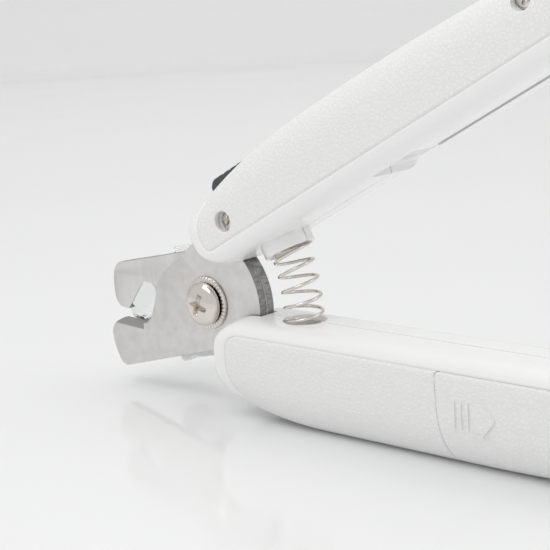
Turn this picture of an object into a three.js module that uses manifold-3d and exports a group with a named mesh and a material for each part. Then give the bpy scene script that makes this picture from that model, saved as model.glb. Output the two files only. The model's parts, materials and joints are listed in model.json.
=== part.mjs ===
// Plier-type pet nail clipper: two notched blades on one pivot, sprung handles, lamp, nail file and catcher.
// Millimetres, +Z up. Everything is drawn about the pivot: X runs to the handle ends, -Y is the screw-head
// side, and the plane y = 0 lies between the two blades. Each handle also has its own directions, u along it
// and v outward from its inner face. The finished group is moved so that it stands on z = 0.
import * as THREE from 'three';
import { mergeVertices } from 'three/addons/utils/BufferGeometryUtils.js';
import Module from 'manifold-3d';

const wasm = await Module();
wasm.setup();

// ---- driving dimensions -------------------------------------------------------------------------------
const UPPER_TILT = 28.0;          // degrees above X, handles sprung open
const LOWER_TILT = 0;             // the lower handle lies flat
const HALF_WIDTH = 8.9;           // of both handles, across Y
const UPPER = { noseU: 8.0, noseV: 13.8, innerV: 3.3, tailU: 118, tailV: 9.5,
  crownV: 21.2, crownFrom: 46, crownTo: 46, noseDrop: 5.0, nosePower: 2.4, tailDrop: 4.6 };
const LOWER = { noseU: 5.8, noseV: 9.5, innerV: 1.0, tailU: 118, tailV: 8.0,
  crownV: 21.4, crownFrom: 32, crownTo: 66, noseDrop: 3.6, nosePower: 2.1, tailDrop: 3.6 };
const GRIP_THICK = 1.2;           // side panels
const SEAM = 0.25;                // visible gap round a panel
const RECESS_DEPTH = 1.5;         // panel seat in the shell
const WALL = 2.9;                 // outside of a shell to its cavity
const SPLIT = 0.1;                // half the gap between the two shells of a handle
const REST_CUT = 0.25;            // depth of the flat land under the lower handle

const BLADE_T = 2.0;
const BLADE_GAP = 0.05;           // from the plane y = 0 to each blade
const HUB_R = 14.2;
const SLOT_R = 14.8;              // the noses are slotted for the hub discs
const SLOT_HALF = 2.4;
const SHAFT_R = 2.6;
const SCREW_HEAD_R = 4.4;
const SCREW_HEAD_H = 2.3;
const WASHER_R = 5.45;
const WASHER_T = 0.8;
const FIT = 0.15;                 // running clearance

const SHELL_SCREWS = {
  upper_nose_screw: { handle: 'upper', u: 19.4, v: 10.7 },
  upper_tail_screw: { handle: 'upper', u: 98.0, v: 14.6 },
  lower_nose_screw: { handle: 'lower', u: 19.4, v: 10.0 },
  lower_mid_screw: { handle: 'lower', u: 59.5, v: 10.5 },
};
const POST_R = 2.2;
const POST_BORE_R = 1.05;
const SMALL_HEAD_R = 1.8;
const SMALL_SHANK_R = 0.85;
const COUNTERBORE_R = 2.0;
const COUNTERBORE_DEPTH = 1.75;
const HEAD_SEAT = HALF_WIDTH - COUNTERBORE_DEPTH - 1.3;

const SPRING = { u: 24.0, r: 3.6, wire: 0.65, turns: 5.75, pocket: 2.0, bow: 17, crowding: 0.02 };
const BOSS = { r: 5.1, u: 24.6, end: 0.8 };
const FILE = { start: 66, pivotU: 107.5, pivotV: 8.0, width: 7.0, half: 0.75, slotHalf: 1.05 };
const BATTERY = { r: 5.25, start: 65.5, length: 43.5, v: 11.0, y: -1.2 };
const DOOR_U = 60.6;

// ---- solids -------------------------------------------------------------------------------------------
function solid(geometry) {
  const bare = geometry.clone();
  bare.deleteAttribute('normal');
  bare.deleteAttribute('uv');
  const merged = mergeVertices(bare, 1e-4);
  return new wasm.Manifold(new wasm.Mesh({
    numProp: 3,
    vertProperties: new Float32Array(merged.attributes.position.array),
    triVerts: new Uint32Array(merged.index.array),
  }));
}

function geometry(body) {
  const mesh = body.getMesh();
  const out = new THREE.BufferGeometry();
  out.setAttribute('position', new THREE.BufferAttribute(new Float32Array(mesh.vertProperties), 3));
  out.setIndex(new THREE.BufferAttribute(new Uint32Array(mesh.triVerts), 1));
  out.computeVertexNormals();
  return out;
}

const degrees = (angle) => THREE.MathUtils.degToRad(angle);

// Handle directions (u, v) to the pivot's X and Z; the lower handle's v points down.
function place(handle, u, v) {
  const tilt = degrees(handle === 'upper' ? UPPER_TILT : LOWER_TILT);
  const out = handle === 'upper' ? v : -v;
  return [u * Math.cos(tilt) - out * Math.sin(tilt), u * Math.sin(tilt) + out * Math.cos(tilt)];
}

function outline(points) {
  return new THREE.Shape(points.map(([x, z]) => new THREE.Vector2(x, z)));
}

// A flat outline in X and Z, given thickness from y = near to y = far.
function plate(shape, near, far, curveSegments = 10) {
  const drawn = new THREE.ExtrudeGeometry(shape, { depth: far - near, bevelEnabled: false, curveSegments });
  drawn.rotateX(Math.PI / 2);
  drawn.translate(0, far, 0);
  return solid(drawn);
}

function handlePlate(handle, points, near, far) {
  return plate(outline(points.map(([u, v]) => place(handle, u, v))), near, far);
}

function handleBox(handle, [u0, u1], [v0, v1], [near, far]) {
  return handlePlate(handle, [[u0, v0], [u1, v0], [u1, v1], [u0, v1]], near, far);
}

// A round bar along Y.
function bar([x, z], radius, near, far, sides = 24) {
  const drawn = new THREE.CylinderGeometry(radius, radius, far - near, sides);
  drawn.translate(x, (near + far) / 2, z);
  return solid(drawn);
}

function turned(profile, sides) {
  return new THREE.LatheGeometry(profile.map(([r, y]) => new THREE.Vector2(r, y)), sides);
}

// Rounds each corner of a polygon with the radius in its third number, as far as its sides allow.
function rounded(points) {
  const path = new THREE.Shape();
  points.forEach(([x, z, wanted = 0], i) => {
    const corner = new THREE.Vector2(x, z);
    const [px, pz] = points[(i + points.length - 1) % points.length];
    const [nx, nz] = points[(i + 1) % points.length];
    const shorter = Math.min(Math.hypot(px - x, pz - z), Math.hypot(nx - x, nz - z));
    const radius = Math.min(wanted, 0.48 * shorter);
    const before = new THREE.Vector2(px, pz).sub(corner).normalize().multiplyScalar(radius).add(corner);
    const after = new THREE.Vector2(nx, nz).sub(corner).normalize().multiplyScalar(radius).add(corner);
    if (i === 0) path.moveTo(before.x, before.y);
    else path.lineTo(before.x, before.y);
    if (radius > 0) path.quadraticCurveTo(x, z, after.x, after.y);
  });
  path.closePath();
  return path;
}

// ---- handle skins -------------------------------------------------------------------------------------
const NOSE_RUN = { outer: 4.5, inner: 8.5, side: 3.2 };
const TAIL_RUN = { outer: 9, inner: 7, side: 4 };
const ease = (t, power) => Math.pow(1 - Math.pow(1 - Math.min(Math.max(t, 0), 1), power), 1 / power);

function crownAt(form, u) {
  const nose = Math.max(0, (form.crownFrom - u) / (form.crownFrom - 9));
  const tail = Math.max(0, (u - form.crownTo) / (form.tailU - form.crownTo));
  return form.crownV - form.noseDrop * Math.pow(nose, form.nosePower) - form.tailDrop * tail * tail;
}

// Inner and outer edge and half width of a handle at u, each drawn in by inset.
function sectionAt(form, u, inset) {
  const fromNose = u - form.noseU - inset;
  const fromTail = form.tailU - inset - u;
  const near = fromNose < fromTail;
  const run = near ? NOSE_RUN : TAIL_RUN;
  const centre = near ? form.noseV : form.tailV;
  const along = near ? fromNose : fromTail;
  const inner = form.innerV + inset;
  const outer = crownAt(form, u) - inset;
  return {
    top: centre + (outer - centre) * ease(along / run.outer, 2.2),
    bottom: centre - (centre - inner) * ease(along / run.inner, 2.3),
    half: (HALF_WIDTH - inset) * ease((along + 0.35) / run.side, 2.6),
  };
}

const power = (value, exponent) => Math.sign(value) * Math.pow(Math.abs(value), 2 / exponent);
const OUTER_EXPONENT = 2.7;
const INNER_EXPONENT = 5.0;

function stations(form, inset) {
  const start = form.noseU + inset;
  const end = form.tailU - inset;
  const closing = [0.06, 0.7, 2.2, 5.0, 9.5];
  const middle = [24, 34, 46, 60, 76, 92];
  return [...closing.map((d) => start + d), ...middle, ...closing.map((d) => end - d).reverse()];
}

// The closed skin of a handle, lofted through rounded sections and drawn in by inset.
function skin(handle, inset = 0) {
  const form = handle === 'upper' ? UPPER : LOWER;
  const ring = 18;
  const points = [];
  const add = (u, y, v) => {
    const [x, z] = place(handle, u, v);
    points.push(x, y, z);
  };
  const us = stations(form, inset);
  us.forEach((u) => {
    const { top, bottom, half } = sectionAt(form, u, inset);
    const middle = bottom + 0.42 * (top - bottom);
    for (let k = 0; k < ring; k += 1) {
      const angle = (2 * Math.PI * k) / ring;
      const rise = Math.sin(angle);
      const exponent = rise > 0 ? OUTER_EXPONENT : INNER_EXPONENT;
      const reach = rise > 0 ? top - middle : middle - bottom;
      add(u, half * power(Math.cos(angle), exponent), middle + reach * power(rise, exponent));
    }
  });
  add(us[0] - 0.05, 0, form.noseV);
  add(us[us.length - 1] + 0.05, 0, form.tailV);
  const tip = us.length * ring;
  const last = tip - ring;
  const faces = [];
  const face = (a, b, c) => faces.push(...(handle === 'upper' ? [a, b, c] : [a, c, b]));
  for (let k = 0; k < ring; k += 1) {
    const next = (k + 1) % ring;
    for (let s = 0; s < last; s += ring) {
      face(s + k, s + next, s + k + ring);
      face(s + next, s + next + ring, s + k + ring);
    }
    face(tip, next, k);
    face(tip + 1, last + k, last + next);
  }
  const drawn = new THREE.BufferGeometry();
  drawn.setAttribute('position', new THREE.Float32BufferAttribute(points, 3));
  drawn.setIndex(faces);
  return solid(drawn);
}

// ---- blades -------------------------------------------------------------------------------------------
function arc(fromDeg, toDeg, steps) {
  return Array.from({ length: steps + 1 }, (_, i) => {
    const angle = degrees(fromDeg + ((toDeg - fromDeg) * i) / steps);
    return [HUB_R * Math.cos(angle), HUB_R * Math.sin(angle)];
  });
}

const FRONT_Y = [-BLADE_T - BLADE_GAP, -BLADE_GAP];
const REAR_Y = [BLADE_GAP, BLADE_T + BLADE_GAP];
const FRONT_EDGE = [[-29.2, -6.2], [-19.6, -6.7]];
const REAR_EDGE = [[-26.2, -4.9], [-20.9, 1.9]];
const BEVEL = 1.3;
const BEVEL_OVERRUN = 0.2;

// The front plate is the lower jaw and the upper handle's tang; grow makes room for it in the shells.
function frontBladeOutline(grow = 0) {
  const tang = [[13.2, 6.0 - grow], [46 + grow, 6.0 - grow], [46 + grow, 14.5 + grow], [12.5, 14.5 + grow]];
  return rounded([
    [-15.8, -1.9, 1.5], [-17.4, -5.6, 0.8], [-19.0, -6.7, 0.8], [-27.2, -6.3, 1.6], [-29.8, -8.9, 1.6],
    [-29.3, -12.5, 1.8], [-27.0, -17.0, 1.8], ...arc(-28, 52, 12),
    ...tang.map(([u, v]) => place('upper', u, v)),
    [-0.5 - grow, 14.0 + grow], [-3.9, 11.3], [-7.3, 8.7, 1.0], [-12.3, 5.2, 0.8], [-14.2, 3.0, 1.2],
    [-15.0, 0.8, 1.5],
  ]);
}

// The rear plate is the upper jaw and the lower handle's tang.
function rearBladeOutline(grow = 0) {
  const tang = [[14.0, 4.0 - grow], [44 + grow, 4.0 - grow], [44 + grow, 12.6 + grow], [12.0, 12.6 + grow]];
  return rounded([
    [-13.2, -7.2, 1.5], [-15.6, -4.4, 1.0], [-17.3, -0.3, 1.0], [-18.2, 1.4, 0.8], [-20.9, 1.9, 0.9],
    [-26.1, -4.75, 0.4], [-28.9, -4.5, 0.9], [-30.2, -2.9, 1.2], [-30.5, 1.0, 2.0], [-30.0, 3.6, 1.2],
    [-28.8, 5.1, 0.9], ...arc(60, -12, 12),
    ...tang.map(([u, v]) => place('lower', u, v)), [0.7, -12.0 - grow], [-3.9, -10.8],
  ]);
}

// A ground bevel: everything beyond a slope that starts at the cutting edge and is BEVEL deep at the
// plate's outer face. The blade's material lies to the right of the edge's direction for lift 1, to the
// left for lift -1.
function bevelCut([[x0, z0], [x1, z1]], keen, blunt, lift) {
  const along = new THREE.Vector2(x1 - x0, z1 - z0).normalize();
  const [nx, nz] = [-along.y * lift, along.x * lift];
  const past = (blunt - keen) * BEVEL_OVERRUN;
  const corner = (x, z, y, depth) => [x - nx * depth, y, z - nz * depth];
  const profile = (x, z) => [
    corner(x, z, keen - past, -BEVEL * BEVEL_OVERRUN),
    corner(x, z, blunt + past, BEVEL * (1 + BEVEL_OVERRUN)),
    corner(x, z, blunt + past, -BEVEL),
    corner(x, z, keen - past, -BEVEL),
  ];
  const drawn = new THREE.BufferGeometry();
  const corners = [...profile(x0, z0), ...profile(x1, z1)].flat();
  drawn.setAttribute('position', new THREE.Float32BufferAttribute(corners, 3));
  const ends = [[0, 1, 2], [0, 2, 3], [4, 6, 5], [4, 7, 6]];
  const sides = [0, 1, 2, 3].flatMap((i) => {
    const next = (i + 1) % 4;
    return [[i, i + 4, next], [next, i + 4, next + 4]];
  });
  const facingOut = (keen < blunt) === (lift > 0);
  drawn.setIndex([...ends, ...sides].map(([a, b, c]) => (facingOut ? [a, c, b] : [a, b, c])).flat());
  return solid(drawn);
}

function postHoles(body, handle) {
  return Object.values(SHELL_SCREWS)
    .filter((screw) => screw.handle === handle && screw.u < 40)
    .reduce((left, { u, v }) => left.subtract(bar(place(handle, u, v), POST_R + 0.3, -9, 9)), body);
}

function frontBlade() {
  const body = plate(frontBladeOutline(), ...FRONT_Y, 5).subtract(bar([0, 0], SHAFT_R + FIT, -9, 9, 32));
  return postHoles(body, 'upper').subtract(bevelCut(FRONT_EDGE, FRONT_Y[1], FRONT_Y[0], 1));
}

function rearBlade() {
  const latch = handleBox('upper', [9, 14.6], [9.4, 11.6], REAR_Y.map((y, i) => y + (i ? 1 : -1) * 0.3));
  const closed = turnedShut(latch);
  const body = plate(rearBladeOutline(), ...REAR_Y, 5).subtract(bar([0, 0], SHAFT_R + FIT, -9, 9, 32));
  return postHoles(body, 'lower').subtract(closed).subtract(bevelCut(REAR_EDGE, ...REAR_Y, -1));
}

// Turns a solid of the upper handle to where it is with the handles shut.
function turnedShut(body) {
  return solid(geometry(body).rotateY(degrees(UPPER_TILT - LOWER_TILT)));
}

// ---- pivot --------------------------------------------------------------------------------------------
function pivotScrew() {
  const seat = FRONT_Y[0] - WASHER_T - 0.2;
  const rim = 0.5;
  const rise = SCREW_HEAD_H - rim;
  const domeSteps = [0.9, 0.72, 0.45, 0.22];
  const dome = domeSteps.map((t) => [SCREW_HEAD_R * Math.sqrt(1 - t * t), seat - rim - t * rise]);
  const profile = [[0, 4.9], [2.0, 4.9], [2.0, 2.3], [SHAFT_R, 2.3], [SHAFT_R, seat], [SCREW_HEAD_R, seat],
    [SCREW_HEAD_R, seat - rim], ...dome.reverse(), [0, seat - SCREW_HEAD_H]];
  let body = solid(turned(profile.reverse(), 24));
  [0, 90].forEach((angle) => {
    const slot = new THREE.BoxGeometry(4.4, 1.6, 1.0);
    slot.translate(0, seat - SCREW_HEAD_H, 0);
    slot.rotateY(degrees(angle + 20));
    body = body.subtract(solid(slot));
  });
  return body;
}

function serratedWasher() {
  const teeth = 30;
  const ring = Array.from({ length: teeth * 2 }, (_, i) => {
    const radius = i % 2 ? WASHER_R : WASHER_R - 0.4;
    const angle = (Math.PI * i) / teeth;
    return [radius * Math.cos(angle), radius * Math.sin(angle)];
  });
  const far = FRONT_Y[0] - 0.1;
  return plate(outline(ring), far - WASHER_T, far).subtract(bar([0, 0], SHAFT_R + FIT, -9, 9, 32));
}

function pivotNut() {
  const near = REAR_Y[1] + 0.3;
  const hexagon = solid(new THREE.CylinderGeometry(4.0, 4.0, 2.2, 6).translate(0, near + 1.1, 0));
  return hexagon.subtract(bar([0, 0], 2.0 + FIT, -9, 9, 24));
}

// ---- handle shells and side panels --------------------------------------------------------------------
const SIDES = { front: [-20, -SPLIT], rear: [SPLIT, 20] };
const PANEL_SIDES = { front: [-20, -0.2], rear: [0.2, 20] };

const PANEL_SEAM = { upper: 7.1, lower: 3.7 };

// The panel's outline: a straight seam beside the inner face, rounded at the nose, running over the crown.
function panelOutline(handle, grow, endU = 112) {
  const seam = PANEL_SEAM[handle] - grow;
  const noseU = (handle === 'upper' ? 11.9 : 10.4) - grow;
  const end = endU + grow;
  const crown = [[noseU + 3.4, 16.8], [noseU + 5.5, 30], [end, 30]];
  const points = [...crown, [end, seam], [noseU, seam], [noseU, 12]];
  const radii = [2.0, 0, 0, 1.5, 6.5, 5];
  return rounded(points.map(([u, v], i) => [...place(handle, u, v), radii[i]]));
}

function panelPrism(handle, side, grow, endU) {
  const [near, far] = PANEL_SIDES[side];
  const toSplit = side === 'front' ? [near, far + grow] : [near - grow, far];
  return plate(panelOutline(handle, grow, endU), ...toSplit, 6);
}

const sign = { front: -1, rear: 1 };

function screwSide(handle) {
  return handle === 'upper' ? 'front' : 'rear';
}

function posts(handle, side) {
  const [near, far] = side === 'front' ? [-9, -SPLIT] : [SPLIT, 9];
  return Object.values(SHELL_SCREWS)
    .filter((screw) => screw.handle === handle)
    .map(({ u, v }) => bar(place(handle, u, v), POST_R, near, far, 20));
}

function counterbore(handle, side) {
  if (side !== screwSide(handle)) return [];
  const outer = sign[side] * 12;
  const seat = sign[side] * HEAD_SEAT;
  return Object.values(SHELL_SCREWS)
    .filter((screw) => screw.handle === handle)
    .map(({ u, v }) => bar(place(handle, u, v), COUNTERBORE_R, Math.min(outer, seat), Math.max(outer, seat)));
}

function screwBores(handle) {
  return Object.values(SHELL_SCREWS)
    .filter((screw) => screw.handle === handle)
    .map(({ u, v }) => bar(place(handle, u, v), POST_BORE_R, -HEAD_SEAT, HEAD_SEAT, 12));
}

const skins = {};
['upper', 'lower'].forEach((handle) => {
  skins[handle] = {
    outer: skin(handle),
    panelBack: skin(handle, GRIP_THICK),
    seat: skin(handle, RECESS_DEPTH),
    cavity: skin(handle, WALL),
  };
});

const addAll = (body, others) => others.reduce((sum, other) => sum.add(other), body);
const cutAll = (body, others) => others.reduce((left, other) => left.subtract(other), body);

// Both noses are slotted so that the two hub discs can turn in them.
const hubSlot = bar([0, 0], SLOT_R, -SLOT_HALF, SLOT_HALF, 48);

function tangRoom(handle) {
  return handle === 'upper'
    ? plate(frontBladeOutline(0.3), FRONT_Y[0] - 0.3, FRONT_Y[1] + 0.3, 4)
    : plate(rearBladeOutline(0.3), REAR_Y[0] - 0.3, REAR_Y[1] + 0.3, 4);
}

// The flat land that the lower handle lies on.
const underLand = handleBox('lower', [-10, 140], [LOWER.crownV - REST_CUT, 40], [-20, 20]);

function shell(handle, side, extras = [], cuts = []) {
  const { outer, seat, cavity } = skins[handle];
  const half = handleBox(handle, [-10, 140], [-10, 40], SIDES[side]);
  const recess = panelPrism(handle, side, SEAM).subtract(seat);
  let body = outer.intersect(half).subtract(cavity).subtract(recess);
  body = addAll(body, posts(handle, side).map((post) => post.intersect(seat)));
  body = addAll(body, extras.map((extra) => extra.intersect(half)));
  const always = [hubSlot, tangRoom(handle), ...screwBores(handle), ...counterbore(handle, side)];
  return cutAll(body, [...always, ...cuts]);
}

function panel(handle, side, cuts = [], endU) {
  const { outer, panelBack } = skins[handle];
  const body = outer.subtract(panelBack).intersect(panelPrism(handle, side, 0, endU));
  const land = handle === 'lower' ? [underLand] : [];
  return cutAll(body, [...counterbore(handle, side), ...land, ...cuts]);
}

function shellScrew(name) {
  const { handle, u, v } = SHELL_SCREWS[name];
  const out = sign[screwSide(handle)];
  const head = out * (HEAD_SEAT + 0.1);
  const middle = place(handle, u, v);
  const span = (a, b) => [Math.min(a, b), Math.max(a, b)];
  const body = bar(middle, SMALL_HEAD_R, ...span(head, head + out * 1.2), 20)
    .add(bar(middle, SMALL_SHANK_R, ...span(head + out * 0.2, -out * 4.2), 14));
  return [0, 90].reduce((left, angle) => {
    const slot = new THREE.BoxGeometry(2.3, 1.4, 0.5).rotateY(degrees(angle + 15));
    slot.translate(middle[0], head + out * 1.2, middle[1]);
    return left.subtract(solid(slot));
  }, body);
}

// ---- spring -------------------------------------------------------------------------------------------
const springFoot = place('lower', SPRING.u, LOWER.innerV + SPRING.pocket - SPRING.wire / 2 - 0.1);
const springHead = place('upper', BOSS.u, BOSS.end + SPRING.pocket - SPRING.wire / 2 - 0.1);

// The coil's axis leaves each handle square to its inner face, so it bows.
class SpringPath extends THREE.Curve {
  getPoint(t, target = new THREE.Vector3()) {
    const [lowTilt, highTilt] = [degrees(LOWER_TILT), degrees(UPPER_TILT)];
    const s = t - SPRING.crowding * Math.sin(2 * Math.PI * t);
    const [s2, s3] = [s ** 2, s ** 3];
    const [fromFoot, toHead] = [2 * s3 - 3 * s2 + 1, 3 * s2 - 2 * s3];
    const [leaving, arriving] = [(s3 - 2 * s2 + s) * SPRING.bow, (s3 - s2) * SPRING.bow];
    const along = (foot, lowWay, head, highWay) =>
      fromFoot * foot + leaving * lowWay + toHead * head + arriving * highWay;
    const x = along(springFoot[0], -Math.sin(lowTilt), springHead[0], -Math.sin(highTilt));
    const z = along(springFoot[1], Math.cos(lowTilt), springHead[1], Math.cos(highTilt));
    const tilt = lowTilt + s * (highTilt - lowTilt);
    const angle = 2 * Math.PI * SPRING.turns * t;
    const across = SPRING.r * Math.cos(angle);
    return target.set(x + across * Math.cos(tilt), SPRING.r * Math.sin(angle), z + across * Math.sin(tilt));
  }
}

function spring() {
  const section = new THREE.Shape().absarc(0, 0, SPRING.wire / 2, 0, 2 * Math.PI);
  const steps = Math.round(SPRING.turns * 12);
  const options = { steps, bevelEnabled: false, extrudePath: new SpringPath(), curveSegments: 3 };
  return solid(new THREE.ExtrudeGeometry(section, options));
}

// A round bar that stands square on a handle's inner face.
function upright(handle, u, [v0, v1], radius, sides = 28) {
  const tilt = degrees(handle === 'upper' ? UPPER_TILT : LOWER_TILT);
  const drawn = new THREE.CylinderGeometry(radius, radius, v1 - v0, sides).rotateX(Math.PI / 2);
  const [x, z] = place(handle, u, (v0 + v1) / 2);
  return solid(drawn.rotateY(-tilt).translate(x, 0, z));
}

// ---- slide lock ---------------------------------------------------------------------------------------
const FAR = 9;                    // past a handle's side, for cutters that go right through
const LOCK = { front: 14.9, back: 29.2, floor: 16.9, top: 20.0, half: 3.4, travel: 3.4, stem: [26.2, 28.6] };
const RIDGE = { at: [19.5, 21.5, 23.5], r: 0.5, lift: 0.25 };
const BOLT = { y: [0.5, 1.5], tip: [14.8, 9.6, 11.4], arm: [15.9, 7.0, 13.9], riserTop: 15.3, slotV: 10.7 };
const SLOT_CLEAR = POST_R + 0.3;

// The knob that the thumb pushes, with its stem down through the crown.
function lockSlider() {
  const { front, back, floor, top, half, stem } = LOCK;
  const side = rounded([
    [front + 0.8, floor + 0.3, 0.3], [back, floor + 0.3, 0.3], [back, top - 0.1, 0.6],
    [front + 1.2, top, 0.9], [front, floor + 1.6, 0.6],
  ].map(([u, v, radius]) => [...place('upper', u, v), radius]));
  const ridges = RIDGE.at.map((u) => bar(place('upper', u, top + RIDGE.lift), RIDGE.r, -FAR, FAR, 10));
  const knob = cutAll(plate(side, -half, half, 3), ridges);
  return knob.add(handleBox('upper', stem, [BOLT.riserTop + 0.3, floor + 0.6], [-1, 1]));
}

// The bolt runs forward from the stem, round the nose screw's post, to the notch in the rear blade's hub.
function lockBolt() {
  const { y, tip, arm, riserTop, slotV } = BOLT;
  const end = LOCK.stem[1];
  const body = handleBox('upper', [tip[0], end], tip.slice(1), y)
    .add(handleBox('upper', [arm[0], end], arm.slice(1), y))
    .add(handleBox('upper', LOCK.stem, [arm[2] - 0.9, riserTop], y));
  const from = SHELL_SCREWS.upper_nose_screw.u;
  const ends = [from, from + LOCK.travel];
  return cutAll(body, [
    ...ends.map((u) => bar(place('upper', u, slotV), SLOT_CLEAR, -FAR, FAR)),
    handleBox('upper', ends, [slotV - SLOT_CLEAR, slotV + SLOT_CLEAR], [-FAR, FAR]),
  ]);
}

// Room for the knob's and the bolt's travel.
function lockRoom() {
  const { front, back, floor, half, travel, stem } = LOCK;
  const reach = [BOLT.y[0] - 0.3, BOLT.y[1] + 0.3];
  const tipHeights = [BOLT.tip[1] - 0.4, BOLT.tip[2] + 0.4];
  const armHeights = [BOLT.arm[1] - 0.4, BOLT.arm[2] + 0.4];
  return [
    handleBox('upper', [front - travel - 0.6, back + 0.4], [floor, 30], [-half - 0.3, half + 0.3]),
    handleBox('upper', [stem[0] - travel - 0.3, stem[1] + 0.3], [12, floor + 1], [-1.3, reach[1]]),
    handleBox('upper', [BOLT.tip[0] - travel - 0.6, back - 0.2], tipHeights, reach),
    handleBox('upper', [BOLT.arm[0] - travel - 0.3, back - 0.2], armHeights, reach),
  ];
}

// ---- nail file ----------------------------------------------------------------------------------------
const FILE_PIN_R = 1.5;
const FILE_PIN_HALF = 6.2;
const FILE_POST_R = 3.2;
const filePivot = place('upper', FILE.pivotU, FILE.pivotV);

function nailFile() {
  const { start, pivotU, width, half } = FILE;
  const low = UPPER.innerV + 0.3;
  const end = pivotU + width / 2;
  const corners = [
    [start, low, 0.8], [end, low, 3], [end, low + width + 1, 3], [start + 6, low + width, 3],
  ];
  const side = rounded(corners.map(([u, v, radius]) => [...place('upper', u, v), radius]));
  return plate(side, -half, half, 6).subtract(bar(filePivot, FILE_PIN_R + FIT, -FAR, FAR));
}

function filePin() {
  return bar(filePivot, FILE_PIN_R, -FILE_PIN_HALF, FILE_PIN_HALF);
}

// The slot that the file folds into, the thumb scoop at its tip and the pin's hole.
function fileRoom() {
  const { start, width, slotHalf } = FILE;
  const top = UPPER.innerV + width + 2.2;
  const slot = handleBox('upper', [start - 0.6, 130], [-5, top], [-slotHalf, slotHalf]);
  const scoop = rounded([[54, -3, 0], [54.6, 5.0, 1.5], [65, 5.0, 2], [68, -3, 0]]
    .map(([u, v, radius]) => [...place('upper', u, v), radius]));
  const hole = bar(filePivot, FILE_PIN_R + 0.3, -FILE_PIN_HALF - 0.3, FILE_PIN_HALF + 0.3);
  return [slot, plate(scoop, -5.6, 12, 4), hole];
}

function filePosts() {
  const inside = HALF_WIDTH - 0.9;
  const front = bar(filePivot, FILE_POST_R, -inside, -FILE.slotHalf);
  const rear = bar(filePivot, FILE_POST_R, FILE.slotHalf, inside);
  return [front, rear].map((post) => post.intersect(skins.upper.seat));
}

// ---- battery, door and light --------------------------------------------------------------------------
const CELL = { nubR: 1.9, nubLength: 1.0, clearance: 0.3, before: 3, after: 2.4 };
const CONTACT = { thick: 0.5, halfY: 3.4, front: 64.4, rear: 109.4 };

// A round bar along the lower handle.
function alongLower(radius, u0, u1, v, y, sides = 24) {
  const drawn = new THREE.CylinderGeometry(radius, radius, u1 - u0, sides).rotateZ(Math.PI / 2);
  const [x, z] = place('lower', (u0 + u1) / 2, v);
  return solid(drawn.rotateY(-degrees(LOWER_TILT)).translate(x, y, z));
}

function battery() {
  const { r, start, length, v, y } = BATTERY;
  const shoulder = start + length - CELL.nubLength;
  const can = alongLower(r, start, shoulder, v, y, 28);
  return can.add(alongLower(CELL.nubR, shoulder - 0.5, start + length, v, y, 16));
}

function batteryRoom() {
  const { r, start, length, v, y } = BATTERY;
  const ends = [start - CELL.before, start + length + CELL.after];
  const reach = r + CELL.clearance + 0.1;
  return {
    bay: handleBox('lower', ends, [v - reach, v + reach], [-FAR, -1]),
    cell: alongLower(r + CELL.clearance, ...ends, v, y, 28),
    contact: handleBox('lower', [CONTACT.front - 1, CONTACT.front + 0.4], [v - 4.8, v + 4.8], [y - 4, y + 4]),
  };
}

function contact(u) {
  const { r, v, y } = BATTERY;
  const ys = [y - CONTACT.halfY, y + CONTACT.halfY];
  return handleBox('lower', [u, u + CONTACT.thick], [v - r + 1, v + r - 1], ys);
}

function doorPrism(grow) {
  const seam = PANEL_SEAM.lower - grow;
  const left = DOOR_U - grow;
  const corners = [
    [left, seam, 1.2], [140, seam, 0], [140, 30, 0], [left + 4.5, 30, 0], [left + 0.4, 13.5, 5],
  ];
  const side = rounded(corners.map(([u, v, radius]) => [...place('lower', u, v), radius]));
  return plate(side, -20, PANEL_SIDES.front[1] + grow, 6);
}

function batteryDoor() {
  const { outer, panelBack } = skins.lower;
  return outer.subtract(panelBack).intersect(doorPrism(0)).subtract(underLand);
}

const BUTTON = { u: 50.5, v: 10.5, r: 3.2, flange: 3.9, base: 3.9, shoulder: 4.8, top: 8.6, travel: 0.8 };
const BOARD = { u: [45, 56.6], v: [5.0, 16.0], y: [1.0, 1.8] };
const SWITCH = { half: 2, y: [1.95, 2.8] };
const buttonAt = place('lower', BUTTON.u, BUTTON.v);

function lightButton() {
  const { r, flange, base, shoulder, top } = BUTTON;
  return bar(buttonAt, r, base + 0.1, top, 28).add(bar(buttonAt, flange, base, shoulder, 28));
}

function circuitBoard() {
  return handleBox('lower', BOARD.u, BOARD.v, BOARD.y);
}

function tactSwitch() {
  const { half, y } = SWITCH;
  return handleBox('lower', [BUTTON.u - half, BUTTON.u + half], [BUTTON.v - half, BUTTON.v + half], y);
}

// The lamp points from under the jaws at the notch; aim is its direction in degrees from +X.
const LAMP = { x: -14.0, z: -12.7, y: 6.2, r: 3.1, aim: 120, rim: 2.2, back: -2.4, floor: -1.4 };
const LENS_IN = 0.9;
const SOCKET_WALL = 1.0;
const ARM_Y = [3.4, 8.0];

// A turned part of the lamp; its profile is (radius, distance along the lamp's aim).
function alongLamp(profile, sides = 24) {
  const drawn = turned(profile, sides).rotateX(Math.PI / 2).rotateY(degrees(90 - LAMP.aim));
  return solid(drawn.translate(LAMP.x, LAMP.y, LAMP.z));
}

function lampBezel() {
  const { r, rim, back, floor } = LAMP;
  const bore = r - 0.7;
  return alongLamp([
    [0, back], [r - 0.6, back], [r, back + 0.6], [r, rim], [bore, rim], [bore, floor], [0, floor],
  ]);
}

function lampLens() {
  const r = LAMP.r - LENS_IN;
  return alongLamp([[0, 1.1], [r, 1.1], [r, 1.8], [r * 0.8, 2.3], [r * 0.45, 2.6], [0, 2.75]]);
}

function led() {
  return alongLamp([[0, -1.2], [1.1, -1.2], [1.1, 0.1], [0.8, 0.6], [0, 0.8]], 16);
}

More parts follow.
